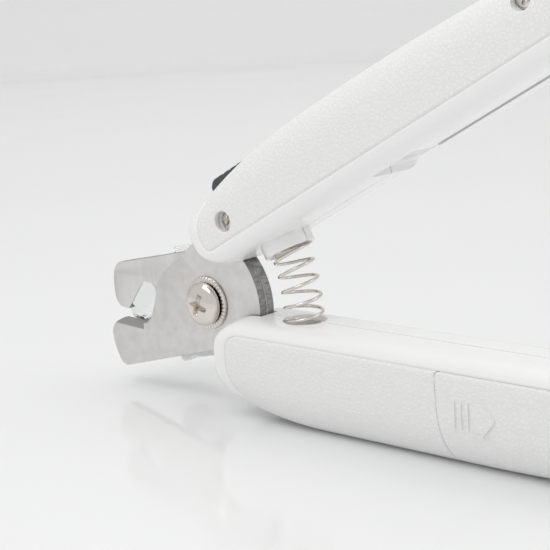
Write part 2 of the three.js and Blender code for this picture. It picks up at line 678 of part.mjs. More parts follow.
// The arm leaves the lower handle's rear shell at the nose and holds the lamp behind the jaws.
function lampArm() {
  const side = rounded([
    [8.7, -10.2, 0], [8.4, -13.4, 0], [-5.1, -13.0, 2], [-9.3, -14.0, 1], [-12.1, -13.7, 0], [-8.9, -10.2, 1],
  ]);
  const { r } = LAMP;
  const wide = r + SOCKET_WALL;
  const room = r + 0.25;
  const socket = alongLamp([
    [0, -3.5], [r - 0.9, -3.3], [r + 0.5, -2.5], [wide, -1.2], [wide, 0.4], [0, 0.4],
  ]);
  const bezelRoom = alongLamp([[0, -2.6], [r - 0.5, -2.6], [room, -1.9], [room, 4], [0, 4]]);
  return plate(side, ...ARM_Y, 4).add(socket).subtract(bezelRoom);
}

// ---- clippings catcher --------------------------------------------------------------------------------
const CATCHER = {
  near: 2.5, far: 9.6, wall: 0.9,
  rim: [[-11.5, 6.3, 2], [-25.8, 3.6, 2], [-28.7, -0.7, 2], [-28.7, -7.4, 2.5], [-12.7, -8.6, 2]],
  back: [[-12.1, 6.6, 2], [-25.1, 4.2, 2], [-27.2, -0.9, 2], [-27.0, -6.3, 2.5], [-13.2, -7.4, 2]],
  lug: [[-9.0, 4.7, 0], [-8.7, 10.2, 0.6], [-13.7, 9.35, 0.7], [-14.1, 4.3, 0]], lugThick: 1.6,
};

function shrink(points, by) {
  const mean = (axis) => points.reduce((sum, point) => sum + point[axis], 0) / points.length;
  const middle = [mean(0), mean(1)];
  return points.map(([x, z, radius]) => {
    const [dx, dz] = [x - middle[0], z - middle[1]];
    const scale = 1 - (by * 1.25) / Math.hypot(dx, dz);
    return [middle[0] + dx * scale, middle[1] + dz * scale, radius];
  });
}

// A cup between two rounded outlines with the same number of points.
function loft(nearPoints, farPoints, near, far) {
  const rings = [nearPoints, farPoints].map((points) => rounded(points).getPoints(4).slice(1));
  const count = rings[0].length;
  const drawn = new THREE.BufferGeometry();
  const points = rings.flatMap((ring, i) => ring.map((p) => [p.x, i ? far : near, p.y]));
  drawn.setAttribute('position', new THREE.Float32BufferAttribute(points.flat(), 3));
  const faces = [];
  for (let k = 0; k < count; k += 1) {
    const next = (k + 1) % count;
    faces.push(k, k + count, next, next, k + count, next + count);
  }
  const flat = THREE.ShapeUtils.triangulateShape(rings[0], []);
  flat.forEach(([i, j, k]) => faces.push(i, j, k, i + count, k + count, j + count));
  drawn.setIndex(faces);
  return solid(drawn);
}

const RAIL = { from: -17, to: -6.6, t: -0.5, half: 2.0, near: 2.35, far: 3.6, tilt: 14 };

function alongBlades(from, to, low, high, near, far) {
  const turn = degrees(RAIL.tilt);
  const corner = (s, t) => [s * Math.cos(turn) - t * Math.sin(turn), s * Math.sin(turn) + t * Math.cos(turn)];
  const corners = [[from, low], [to, low], [to, high], [from, high]];
  return plate(outline(corners.map(([s, t]) => corner(s, t))), near, far);
}

function guardRail() {
  const { from, to, t, half, near, far } = RAIL;
  return alongBlades(from, to, t - half, t + half, near + 0.2, far).subtract(bar([0, 0], 5.0, -9, 9));
}

function clippingsCatcher() {
  const { near, far, wall, rim, back } = CATCHER;
  const outside = loft(rim, back, near, far);
  const inside = loft(shrink(rim, wall), shrink(back, wall), near - 0.01, far - wall);
  const reach = RAIL.half + 0.3;
  const way = alongBlades(RAIL.from, 0, RAIL.t - reach, RAIL.t + reach, near - 1, RAIL.far + 0.3);
  const lug = plate(rounded(CATCHER.lug), near, near + CATCHER.lugThick, 4);
  return outside.subtract(inside).add(lug).subtract(way);
}

// ---- assembly -----------------------------------------------------------------------------------------
const FINISH = {
  gloss_white: { color: 0xf4f4f5, roughness: 0.25, metalness: 0 },
  grain_white: { color: 0xefeff0, roughness: 0.6, metalness: 0 },
  blade_steel: { color: 0xcdcbc8, roughness: 0.35, metalness: 1 },
  nickel: { color: 0xd8d4cc, roughness: 0.15, metalness: 1 },
  slate: { color: 0x464850, roughness: 0.55, metalness: 0 },
  clear: { color: 0xf4f6f8, roughness: 0.1, metalness: 0, transparent: true, opacity: 0.35 },
  board_green: { color: 0x2c6b45, roughness: 0.5, metalness: 0 },
  battery_wrap: { color: 0x55606c, roughness: 0.4, metalness: 0.2 },
};

function piece(name, body, finish) {
  const mesh = new THREE.Mesh(geometry(body), new THREE.MeshStandardMaterial(FINISH[finish]));
  mesh.name = name;
  return mesh;
}

const bossRecess = upright('upper', BOSS.u, [-1, BOSS.end + SPRING.pocket], SPRING.r + 0.7);
const pocket = upright('lower', SPRING.u, [-1, LOWER.innerV + SPRING.pocket], SPRING.r + 0.7);
const boss = upright('upper', BOSS.u, [BOSS.end, UPPER.innerV + 2.2], BOSS.r);
const lockBlock = handleBox('upper', [13.5, 31.5], [LOCK.floor - 1.9, LOCK.floor + 0.5], [-5.5, 5.5])
  .intersect(skins.upper.seat);
const buttonHole = bar(buttonAt, BUTTON.r + 0.2, 4, 12, 28);
const flangeEnds = [BUTTON.base - BUTTON.travel - 0.2, BUTTON.shoulder + 0.5];
const flangeRoom = bar(buttonAt, BUTTON.flange + 0.3, ...flangeEnds, 28);
const cellRoom = batteryRoom();
const doorRoom = doorPrism(SEAM).subtract(skins.lower.seat);

const upperCuts = [bossRecess, ...lockRoom(), ...fileRoom()];
const lowerCuts = [pocket, cellRoom.contact, cellRoom.cell];
const upperExtras = [boss, lockBlock, ...filePosts()];
const lowerFrontShell = shell('lower', 'front', [], [...lowerCuts, cellRoom.bay, doorRoom]);
const lowerRearShell = shell('lower', 'rear', [lampArm()], [...lowerCuts, buttonHole, flangeRoom]);

const lowerHandle = new THREE.Group();
lowerHandle.add(
  piece('lower_front_shell', lowerFrontShell, 'gloss_white'),
  piece('lower_rear_shell', lowerRearShell, 'gloss_white'),
  piece('lower_front_grip', panel('lower', 'front', [doorPrism(0.2)]), 'grain_white'),
  piece('lower_rear_grip', panel('lower', 'rear', [buttonHole]), 'grain_white'),
  piece('rear_blade', rearBlade(), 'blade_steel'),
  piece('pivot_screw', pivotScrew(), 'nickel'),
  piece('serrated_washer', serratedWasher(), 'nickel'),
  piece('pivot_nut', pivotNut(), 'nickel'),
  piece('handle_spring', spring(), 'nickel'),
  piece('lower_nose_screw', shellScrew('lower_nose_screw'), 'nickel'),
  piece('lower_mid_screw', shellScrew('lower_mid_screw'), 'nickel'),
  piece('battery', battery(), 'battery_wrap'),
  piece('battery_contact_rear', contact(CONTACT.rear), 'nickel'),
  piece('battery_contact_front', contact(CONTACT.front), 'nickel'),
  piece('circuit_board', circuitBoard(), 'board_green'),
  piece('tact_switch', tactSwitch(), 'slate'),
  piece('lamp_bezel', lampBezel(), 'gloss_white'),
  piece('lamp_lens', lampLens(), 'clear'),
  piece('led', led(), 'clear'),
  piece('catcher_rail', guardRail(), 'gloss_white'),
);

const upperHandle = new THREE.Group();
upperHandle.add(
  piece('upper_front_shell', shell('upper', 'front', upperExtras, upperCuts), 'gloss_white'),
  piece('upper_rear_shell', shell('upper', 'rear', upperExtras, upperCuts), 'gloss_white'),
  piece('upper_front_grip', panel('upper', 'front', lockRoom()), 'grain_white'),
  piece('upper_rear_grip', panel('upper', 'rear', lockRoom()), 'grain_white'),
  piece('front_blade', frontBlade(), 'blade_steel'),
  piece('upper_nose_screw', shellScrew('upper_nose_screw'), 'nickel'),
  piece('upper_tail_screw', shellScrew('upper_tail_screw'), 'nickel'),
  piece('file_pin', filePin(), 'nickel'),
  piece('nail_file', nailFile(), 'blade_steel'),
  piece('lock_slider', lockSlider(), 'slate'),
  piece('lock_bolt', lockBolt(), 'nickel'),
);

const clipper = new THREE.Group();
clipper.add(
  lowerHandle,
  upperHandle,
  piece('battery_door', batteryDoor(), 'grain_white'),
  piece('light_button', lightButton(), 'slate'),
  piece('clippings_catcher', clippingsCatcher(), 'clear'),
);

// Stand the group on z = 0, centred over the origin.
const bounds = new THREE.Box3().setFromObject(clipper);
const middle = bounds.getCenter(new THREE.Vector3());
clipper.position.set(-middle.x, -middle.y, -bounds.min.z);
clipper.updateMatrixWorld(true);

export default clipper;
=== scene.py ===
"""A plier-type pet nail clipper lying on a pale floor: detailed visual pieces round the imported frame.

Shapes are drawn in millimetres about the clipper's pivot: X to the handle ends, -Y the screw-head side, Z up.
Each handle has its own directions: u along it and v outward from its inner face.
"""

import json
import math

import bmesh
import bpy
import numpy as np
from mathutils import Matrix, Vector


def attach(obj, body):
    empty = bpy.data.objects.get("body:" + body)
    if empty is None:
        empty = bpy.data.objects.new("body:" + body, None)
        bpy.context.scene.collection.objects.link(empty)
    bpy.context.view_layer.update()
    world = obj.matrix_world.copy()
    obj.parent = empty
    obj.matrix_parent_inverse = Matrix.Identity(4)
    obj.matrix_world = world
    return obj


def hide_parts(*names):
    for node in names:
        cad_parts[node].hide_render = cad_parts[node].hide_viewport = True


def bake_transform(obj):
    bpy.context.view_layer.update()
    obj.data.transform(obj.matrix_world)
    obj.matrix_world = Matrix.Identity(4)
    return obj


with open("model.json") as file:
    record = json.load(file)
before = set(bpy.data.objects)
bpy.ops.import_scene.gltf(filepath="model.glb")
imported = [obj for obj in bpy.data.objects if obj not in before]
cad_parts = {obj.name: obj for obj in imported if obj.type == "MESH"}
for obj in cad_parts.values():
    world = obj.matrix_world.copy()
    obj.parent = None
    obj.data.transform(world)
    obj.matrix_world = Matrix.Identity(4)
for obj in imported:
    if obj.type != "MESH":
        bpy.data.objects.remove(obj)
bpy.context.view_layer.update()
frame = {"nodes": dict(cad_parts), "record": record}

MM = 0.001
PIVOT = Vector(frame["record"]["behaviour"]["joints"][0]["pos_m"])

# ---- the handles' dimensions ---------------------------------------------------------------------------
TILT = {"upper": math.radians(28.0), "lower": 0.0}
HALF_WIDTH = 8.9
FORM = {
    "upper": dict(nose_u=8.0, nose_v=13.8, inner_v=3.3, tail_u=118, tail_v=9.5, crown_v=21.2, crown_from=46,
                  crown_to=46, nose_drop=5.0, nose_power=2.4, tail_drop=4.6),
    "lower": dict(nose_u=5.8, nose_v=9.5, inner_v=1.0, tail_u=118, tail_v=8.0, crown_v=21.4, crown_from=32,
                  crown_to=66, nose_drop=3.6, nose_power=2.1, tail_drop=3.6),
}
GRIP_THICK = 1.2                  # side panels
RECESS = 1.5                      # panel seat in the shell
JOIN = 0.03                       # gap round a panel
DOOR_GAP = 0.07
MARK_RISE = 0.3                   # the door's marks
WALL = 2.9                        # outside of a shell to its cavity
SPLIT = 0.1                       # half the gap between the two shells of a handle
REST_CUT = 0.25                   # depth of the flat land under the lower handle
PANEL_SEAM = {"upper": 7.1, "lower": 3.7}
PANEL_NOSE = {"upper": 11.9, "lower": 10.4}
PANEL_END = 112
DOOR_U = 60.6
NOSE_RUN = dict(outer=4.5, inner=8.5, side=3.2)
TAIL_RUN = dict(outer=9, inner=7, side=4)
OUTER_EXPONENT = 2.7
INNER_EXPONENT = 5.0
WIDEST = 0.42                     # how far out a section is widest
HUB_R = 14.2
SLOT_R = 14.8
SLOT_HALF = 2.4
FRONT_Y = (-2.05, -0.05)
REAR_Y = (0.05, 2.05)


# ---- mesh helpers --------------------------------------------------------------------------------------
def place(handle, u, v):
    """Handle directions to the pivot's X and Z; the lower handle's v points down."""
    out = v if handle == "upper" else -v
    c, s = math.cos(TILT[handle]), math.sin(TILT[handle])
    return (u * c - out * s, u * s + out * c)


def add_object(name, mesh):
    obj = bpy.data.objects.new(name, mesh)
    bpy.context.scene.collection.objects.link(obj)
    return obj


def from_faces(name, points, faces):
    mesh = bpy.data.meshes.new(name)
    mesh.from_pydata([tuple(p) for p in points], [], faces)
    mesh.validate()
    return add_object(name, mesh)


def fix_normals(obj):
    bm = bmesh.new()
    bm.from_mesh(obj.data)
    bmesh.ops.recalc_face_normals(bm, faces=bm.faces)
    bm.to_mesh(obj.data)
    bm.free()
    return obj


def combine(obj, other, how):
    """obj with other cut away, joined or kept only where they meet; other is used up."""
    modifier = obj.modifiers.new("shape", "BOOLEAN")
    modifier.operation = how
    modifier.object = other
    modifier.solver = "MANIFOLD"
    graph = bpy.context.evaluated_depsgraph_get()
    mesh = bpy.data.meshes.new_from_object(obj.evaluated_get(graph))
    obj.modifiers.clear()
    old, obj.data = obj.data, mesh
    bpy.data.meshes.remove(old)
    bpy.data.meshes.remove(other.data)
    if not obj.data.polygons:
        raise RuntimeError(f"{obj.name} is empty after {how}")
    return obj


def cut(obj, *others):
    for other in others:
        combine(obj, other, "DIFFERENCE")
    return obj


def join(obj, *others):
    for other in others:
        combine(obj, other, "UNION")
    return obj


def keep(obj, *others):
    for other in others:
        combine(obj, other, "INTERSECT")
    return obj


def rounded(points, steps=10):
    """Rounds each corner (x, z, radius) of a polygon as far as its sides allow."""
    out = []
    for i, point in enumerate(points):
        corner = Vector(point[:2])
        wanted = point[2] if len(point) > 2 else 0
        before = Vector(points[i - 1][:2]) - corner
        after = Vector(points[(i + 1) % len(points)][:2]) - corner
        radius = min(wanted, 0.48 * min(before.length, after.length))
        if radius <= 0:
            out.append(tuple(corner))
            continue
        a = corner + before.normalized() * radius
        b = corner + after.normalized() * radius
        for k in range(steps + 1):
            t = k / steps
            out.append(tuple(a * (1 - t) ** 2 + corner * 2 * t * (1 - t) + b * t * t))
    return out


def tidy_ring(points, least=1e-3):
    """Drops points that fall on their neighbour."""
    kept = []
    for p in points:
        if not kept or math.dist(p, kept[-1]) > least:
            kept.append(p)
    if math.dist(kept[0], kept[-1]) <= least:
        kept.pop()
    return kept


def plate(points, near, far, name="plate"):
    """A flat outline in X and Z, given thickness from y = near to y = far."""
    ring = tidy_ring(points)
    n = len(ring)
    verts = [(x, near, z) for x, z in ring] + [(x, far, z) for x, z in ring]
    faces = [list(range(n)), list(range(2 * n - 1, n - 1, -1))]
    faces += [[i, i + n, (i + 1) % n + n, (i + 1) % n] for i in range(n)]
    return fix_normals(from_faces(name, verts, faces))


def handle_plate(handle, points, near, far, steps=10):
    placed = [(*place(handle, p[0], p[1]), p[2] if len(p) > 2 else 0) for p in points]
    return plate(rounded(placed, steps), near, far)


def handle_box(handle, us, vs, ys):
    return handle_plate(handle, [(us[0], vs[0]), (us[1], vs[0]), (us[1], vs[1]), (us[0], vs[1])], *ys)


def bar(centre, radius, near, far, sides=64):
    ring = [(centre[0] + radius * math.cos(2 * math.pi * k / sides),
             centre[1] + radius * math.sin(2 * math.pi * k / sides)) for k in range(sides)]
    return plate(ring, near, far)


def turned(name, profile, matrix, sides=64):
    """A profile of (radius, height) turned about the local Z axis, then placed by matrix."""
    verts, rings = [], []
    for r, h in profile:
        if r <= 1e-6:
            rings.append([len(verts)])
            verts.append((0, 0, h))
            continue
        rings.append(list(range(len(verts), len(verts) + sides)))
        verts += [(r * math.cos(2 * math.pi * k / sides), r * math.sin(2 * math.pi * k / sides), h)
                  for k in range(sides)]
    faces = []
    for low, high in zip(rings, rings[1:] + (rings[:1] if len(rings[0]) > 1 else [])):
        for k in range(sides):
            n = (k + 1) % sides
            quad = [low[k % len(low)], low[n % len(low)], high[n % len(high)], high[k % len(high)]]
            face = list(dict.fromkeys(quad))
            if len(face) > 2:
                faces.append(face)
    obj = from_faces(name, [matrix @ Vector(v) for v in verts], faces)
    return fix_normals(obj)


def facing(at, out, y=0):
    """Places a turned part so that its height runs along Y, outward for out 1 and toward -Y for out -1."""
    return Matrix.Translation((at[0], y, at[1])) @ Matrix.Rotation(-out * math.pi / 2, 4, "X")


# ---- handle skins --------------------------------------------------------------------------------------
def ease(t, power):
    return (1 - (1 - np.clip(t, 0, 1)) ** power) ** (1 / power)


def section_at(form, u, inset):
    """Inner and outer edge and half width of a handle at u, each drawn in by inset."""
    u = np.asarray(u, float)
    from_nose = u - form["nose_u"] - inset
    from_tail = form["tail_u"] - inset - u
    near = from_nose < from_tail
    along = np.where(near, from_nose, from_tail)
    centre = np.where(near, form["nose_v"], form["tail_v"])
    outer_run = np.where(near, NOSE_RUN["outer"], TAIL_RUN["outer"])
    inner_run = np.where(near, NOSE_RUN["inner"], TAIL_RUN["inner"])
    side_run = np.where(near, NOSE_RUN["side"], TAIL_RUN["side"])
    nose = np.maximum(0, (form["crown_from"] - u) / (form["crown_from"] - 9))
    tail = np.maximum(0, (u - form["crown_to"]) / (form["tail_u"] - form["crown_to"]))
    crown = form["crown_v"] - form["nose_drop"] * nose ** form["nose_power"] - form["tail_drop"] * tail * tail
    top = centre + (crown - inset - centre) * ease(along / outer_run, 2.2)
    bottom = centre - (centre - form["inner_v"] - inset) * ease(along / inner_run, 2.3)
    half = (HALF_WIDTH - inset) * ease((along + 0.35) / side_run, 2.6)
    return top, bottom, half


def stations(form, inset):
    start, end = form["nose_u"] + inset, form["tail_u"] - inset
    closing = [0.02, 0.08, 0.2, 0.4, 0.7, 1.1, 1.6, 2.2, 2.9, 3.7, 4.6, 5.6, 6.6, 7.7, 8.8, 10]
    middle = list(np.linspace(start + 11.5, end - 11.5, 60))
    return [start + d for d in closing] + middle + [end - d for d in reversed(closing)]


def skin_faces(count, ring):
    """Faces between count rings of ring points, closed by two tips that follow them."""
    last, tips = (count - 1) * ring, count * ring
    faces = []
    for k in range(ring):
        n = (k + 1) % ring
        faces += [[s + k, s + n, s + ring + n, s + ring + k] for s in range(0, last, ring)]
        faces += [[tips, n, k], [tips + 1, last + k, last + n]]
    return faces


def skin(handle, inset=0.0, ring=112):
    """The closed skin of a handle, lofted through rounded sections and drawn in by inset."""
    form = FORM[handle]
    us = stations(form, inset)
    angles = 2 * np.pi * np.arange(ring) / ring
    across, rise = np.cos(angles), np.sin(angles)
    exponent = np.where(rise > 0, OUTER_EXPONENT, INNER_EXPONENT)
    wide = np.sign(across) * np.abs(across) ** (2 / exponent)
    tall = np.sign(rise) * np.abs(rise) ** (2 / exponent)
    verts = []
    for u in us:
        top, bottom, half = (float(x) for x in section_at(form, u, inset))
        middle = bottom + WIDEST * (top - bottom)
        for w, t in zip(wide, tall):
            v = middle + (top - middle if t > 0 else middle - bottom) * t
            x, z = place(handle, u, v)
            verts.append((x, half * w, z))
    for u, v in ((us[0] - 0.05, form["nose_v"]), (us[-1] + 0.05, form["tail_v"])):
        x, z = place(handle, u, v)
        verts.append((x, 0, z))
    return fix_normals(from_faces("skin", verts, skin_faces(len(us), ring)))


def skin_level(form, u, y, v):
    """Below 1 inside a handle's outer skin, 1 on it."""
    top, bottom, half = section_at(form, u, 0.0)
    middle = bottom + WIDEST * (top - bottom)
    above = v > middle
    reach = np.where(above, top - middle, middle - bottom)
    e = np.where(above, OUTER_EXPONENT, INNER_EXPONENT)
    return (np.abs(y / half) ** e + np.abs((v - middle) / reach) ** e) ** (1 / e)


# Where the side panels and the battery door end, the skin dips into a soft groove.
GROOVE_HALF, GROOVE_DEPTH = 0.5, 0.26
TIP_CLEAR = 0.06                  # keeps the skin's formula off its two tips


def panel_outline(handle, grow=0.0):
    seam, nose = PANEL_SEAM[handle] - grow, PANEL_NOSE[handle] - grow
    end = PANEL_END + grow
    return [(nose + 3.4, 16.8, 2.0), (nose + 5.5, 30, 0), (end, 30, 0), (end, seam, 1.5), (nose, seam, 6.5),
            (nose, 12, 5)]


def door_outline(grow=0.0):
    seam, left = PANEL_SEAM["lower"] - grow, DOOR_U - grow
    return [(left, seam, 1.2), (140, seam, 0), (140, 30, 0), (left + 4.5, 30, 0), (left + 0.4, 13.5, 5)]


def distance_to_loop(loop, u, v):
    """Distance from each (u, v) to a closed outline."""
    best = np.full(u.shape, 1e9)
    for (u0, v0), (u1, v1) in zip(loop, loop[1:] + loop[:1]):
        du, dv = u1 - u0, v1 - v0
        length = du * du + dv * dv
        if length < 1e-12:
            continue
        t = np.clip(((u - u0) * du + (v - v0) * dv) / length, 0, 1)
        best = np.minimum(best, np.hypot(u - u0 - t * du, v - v0 - t * dv))
    return best


def seam_distance(handle, u, y, v):
    """Distance to the nearest visible seam, seen from the side."""
    distance = distance_to_loop(rounded(panel_outline(handle), 20), u, v)
    if handle == "lower":
        door = distance_to_loop(rounded(door_outline(), 20), u, v)
        distance = np.where(y < 0, np.minimum(distance, door), distance)
    return distance


def skin_direction(handle, u, y, v):
    """The outer skin's outward direction as (u, y, v) components."""
    form = FORM[handle]
    step = 0.02
    u = np.clip(u, form["nose_u"] + TIP_CLEAR, form["tail_u"] - TIP_CLEAR)
    du = skin_level(form, u + step, y, v) - skin_level(form, u - step, y, v)
    dy = skin_level(form, u, y + step, v) - skin_level(form, u, y - step, v)
    dv = skin_level(form, u, y, v + step) - skin_level(form, u, y, v - step)
    way = np.stack([du, dy, dv], 1)
    return way / np.maximum(np.linalg.norm(way, axis=1, keepdims=True), 1e-9)


def fine_stations(handle):
    form = FORM[handle]
    start, end = form["nose_u"], form["tail_u"]
    closing = [0.02, 0.08, 0.2, 0.4, 0.7, 1.1, 1.6, 2.2, 2.9, 3.7, 4.6]
    nose = PANEL_NOSE[handle]
    us = [start + d for d in closing[:-1] if start + d < nose - 0.6]
    us += list(np.arange(nose - 0.6, nose + 8.6, 0.15))
    coarse = list(np.linspace(us[-1] + 0.4, 110, 64))
    if handle == "lower":
        coarse = [u for u in coarse if not DOOR_U - 0.8 < u < DOOR_U + 5.4]
        coarse += list(np.arange(DOOR_U - 0.75, DOOR_U + 5.4, 0.15))
    us += coarse
    us += list(PANEL_END + np.linspace(-0.75, 0.75, 11))
    us += [end - d for d in closing]
    return sorted(us)


def section_rows(handle, u):
    """Half a section as (y, v) from the inner middle round the side to the crown, close-set at the seam."""
    top, bottom, half = (float(x) for x in section_at(FORM[handle], u, 0.0))
    middle = bottom + WIDEST * (top - bottom)
    seam = PANEL_SEAM[handle]
    ledge = middle + 0.8 * (top - middle)
    spread = 1e-4 * (top - bottom)
    low = bottom + 0.02 * (middle - bottom)

    def turn(v):
        t = (v - middle) / (top - middle if v > middle else middle - bottom)
        e = OUTER_EXPONENT if v > middle else INNER_EXPONENT
        return math.copysign(math.asin(min(1, abs(t) ** (e / 2))), t)

    def at(a):
        e, reach = (OUTER_EXPONENT, top - middle) if a > 0 else (INNER_EXPONENT, middle - bottom)
        return (half * max(0.0, math.cos(a)) ** (2 / e),
                middle + math.copysign(reach * abs(math.sin(a)) ** (2 / e), a))

    band = [min(max(v, low + spread * k), ledge - spread * (100 - k))
            for k, v in enumerate(np.arange(seam - 0.78, seam + 0.8, 0.12))]
    wall = list(np.linspace(band[-1], ledge, 58))[1:]
    angles = list(np.linspace(-math.pi / 2, turn(band[0]), 22))[:-1]
    angles += [turn(v) for v in band + wall]
    angles += list(np.linspace(angles[-1], math.pi / 2, 26))[1:]
    return [at(a) for a in angles]


FINE_SKINS = {}


def fine_skin(handle):
    """The outer skin with the seams' grooves in it."""
    if handle not in FINE_SKINS:
        points = []
        us = fine_stations(handle)
        for u in us:
            rows = section_rows(handle, u)
            points += [(u, y, v) for y, v in rows]
            points += [(u, -y, v) for y, v in reversed(rows[1:-1])]
        ring = len(points) // len(us)
        form = FORM[handle]
        points += [(us[0] - 0.05, 0, form["nose_v"]), (us[-1] + 0.05, 0, form["tail_v"])]
        p = np.array(points)
        near = seam_distance(handle, p[:, 0], p[:, 1], p[:, 2]) / GROOVE_HALF
        dip = GROOVE_DEPTH * np.maximum(0, 1 - near) ** 1.6
        p -= skin_direction(handle, p[:, 0], p[:, 1], p[:, 2]) * dip[:, None]
        verts = []
        for u, y, v in p:
            x, z = place(handle, u, v)
            verts.append((x, y, z))
        mesh = bpy.data.meshes.new("fine_skin")
        mesh.from_pydata(verts, [], skin_faces(len(us), ring))
        holder = fix_normals(add_object("fine_skin", mesh))
        FINE_SKINS[handle] = holder.data
        bpy.data.objects.remove(holder)
    return add_object("skin", FINE_SKINS[handle].copy())


def values(items, name, width=0):
    """One property of all items as an array: whole numbers, or rows of width floats."""
    if not width:
        out = np.empty(len(items), np.int32)
        items.foreach_get(name, out)
        return out
    out = np.empty(len(items) * width, np.float32)
    items.foreach_get(name, out)
    return out.reshape(-1, width).astype(float)


def shade_skin(obj, handle):
    """Smooth shading with sharp cuts, and the plain skin's own normals wherever a face lies on it."""
    mesh = obj.data
    mesh.shade_smooth()
    mesh.set_sharp_from_angle(angle=math.radians(35))
    normals = values(mesh.corner_normals, "vector", 3)
    verts = values(mesh.vertices, "co", 3)
    index = values(mesh.loops, "vertex_index")
    totals = values(mesh.polygons, "loop_total")
    flat = values(mesh.polygons, "normal", 3)[np.repeat(np.arange(len(totals)), totals)]
    side = 1 if handle == "upper" else -1
    c, s = math.cos(TILT[handle]), math.sin(TILT[handle])
    u = verts[:, 0] * c + verts[:, 2] * s
    v = (-verts[:, 0] * s + verts[:, 2] * c) * side
    y = verts[:, 1]
    form = FORM[handle]
    level = skin_level(form, np.clip(u, form["nose_u"] + TIP_CLEAR, form["tail_u"] - TIP_CLEAR), y, v)
    plain = (np.abs(level - 1) < 0.02) & (seam_distance(handle, u, y, v) > GROOVE_HALF)
    way = skin_direction(handle, u, y, v)
    way = np.stack([way[:, 0] * c - way[:, 2] * side * s, way[:, 1], way[:, 0] * s + way[:, 2] * side * c], 1)
    skinned = way[index]
    on = plain[index] & ((skinned * flat).sum(1) > 0.9)
    normals[on] = skinned[on]
    mesh.normals_split_custom_set(normals.tolist())
    return obj


def finish_piece(obj, name, body, material, nodes=()):
    """Moves a finished drawing into the frame, in metres, and hands it to its body."""
    obj.name = obj.data.name = name
    obj.data.transform(Matrix.Translation(PIVOT) @ Matrix.Scale(MM, 4))
    obj.data.materials.clear()
    for each in material if isinstance(material, (list, tuple)) else [material]:
        obj.data.materials.append(each)
    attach(obj, body)
    if nodes:
        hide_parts(*nodes)
    return obj


def smooth(obj, angle=30):
    obj.data.shade_smooth()
    obj.data.set_sharp_from_angle(angle=math.radians(angle))
    return obj


def soften(obj, width, segments=2, angle=30):
    """Rounds the sharp edges of a clean mesh by width millimetres."""
    modifier = obj.modifiers.new("edges", "BEVEL")
    modifier.width = width
    modifier.segments = segments
    modifier.limit_method = "ANGLE"
    modifier.angle_limit = math.radians(angle)
    modifier.harden_normals = True
    graph = bpy.context.evaluated_depsgraph_get()
    obj.data.shade_smooth()
    mesh = bpy.data.meshes.new_from_object(obj.evaluated_get(graph))
    obj.modifiers.clear()
    obj.data = mesh
    return obj


# ---- materials -----------------------------------------------------------------------------------------
class Surface:
    """A Principled material and the few nodes that shape it."""

    def __init__(self, name, colour, roughness, metallic=0.0, **sockets):
        self.material = bpy.data.materials.new(name)
        self.material.use_nodes = True
        self.tree = self.material.node_tree
        self.shader = self.tree.nodes["Principled BSDF"]
        self.shader.inputs["Base Color"].default_value = (*colour, 1)
        self.shader.inputs["Roughness"].default_value = roughness
        self.shader.inputs["Metallic"].default_value = metallic
        for socket, value in sockets.items():
            self.shader.inputs[socket.replace("_", " ")].default_value = value

    def add(self, kind, settings=None, **inputs):
        node = self.tree.nodes.new(kind)
        for key, value in (settings or {}).items():
            setattr(node, key, value)
        for key, value in inputs.items():
            socket = node.inputs[key.replace("_", " ")]
            if isinstance(value, bpy.types.NodeSocket):
                self.tree.links.new(value, socket)
            else:
                socket.default_value = value
        return node

    def coordinates(self, scale=(1, 1, 1)):
        """The piece's own coordinates in millimetres, stretched by scale."""
        place_in = self.add("ShaderNodeTexCoord").outputs["Object"]
        stretch = tuple(1000 * s for s in scale)
        return self.add("ShaderNodeMapping", Vector=place_in, Scale=stretch).outputs["Vector"]

    def noise(self, size, detail=2.0, stretch=(1, 1, 1), rough=0.5):
        """Noise with features about size millimetres across."""
        vector = self.coordinates(stretch)
        node = self.add("ShaderNodeTexNoise", Vector=vector, Scale=1 / size, Detail=detail, Roughness=rough)
        return node.outputs["Fac"]

    def ramp(self, value, low, high, to_low=0.0, to_high=1.0):
        node = self.tree.nodes.new("ShaderNodeMapRange")
        node.clamp = True
        self.tree.links.new(value, node.inputs["Value"])
        for key, number in (("From Min", low), ("From Max", high), ("To Min", to_low), ("To Max", to_high)):
            node.inputs[key].default_value = number
        return node.outputs["Result"]

    def roughness(self, value, low, high):
        self.tree.links.new(self.ramp(value, 0.3, 0.7, low, high), self.shader.inputs["Roughness"])
        return self

    def tint(self, value, low, high):
        """Colour between low and high as value goes from 0.3 to 0.7."""
        mix = self.add("ShaderNodeMix", {"data_type": "RGBA"})
        self.tree.links.new(self.ramp(value, 0.3, 0.7), mix.inputs["Factor"])
        mix.inputs[6].default_value = (*low, 1)
        mix.inputs[7].default_value = (*high, 1)
        self.tree.links.new(mix.outputs[2], self.shader.inputs["Base Color"])
        return self

    def bump(self, height, depth, strength=1.0):
        """Relief depth millimetres deep, on top of any relief already there."""
        already = self.shader.inputs["Normal"].links
        node = self.add("ShaderNodeBump", Height=height, Distance=depth * MM, Strength=strength)
        if already:
            self.tree.links.new(already[0].from_socket, node.inputs["Normal"])
        self.tree.links.new(node.outputs["Normal"], self.shader.inputs["Normal"])
        return self


def gloss_white():
    s = Surface("gloss_white", (0.93, 0.93, 0.93), 0.22, Coat_Weight=0.25, Coat_Roughness=0.08)
    s.shader.inputs["Subsurface Weight"].default_value = 0.08
    s.shader.inputs["Subsurface Radius"].default_value = (0.002, 0.002, 0.002)
    s.roughness(s.noise(6.0), 0.18, 0.27)
    s.bump(s.noise(1.6, 3), 0.006)
    return s.material


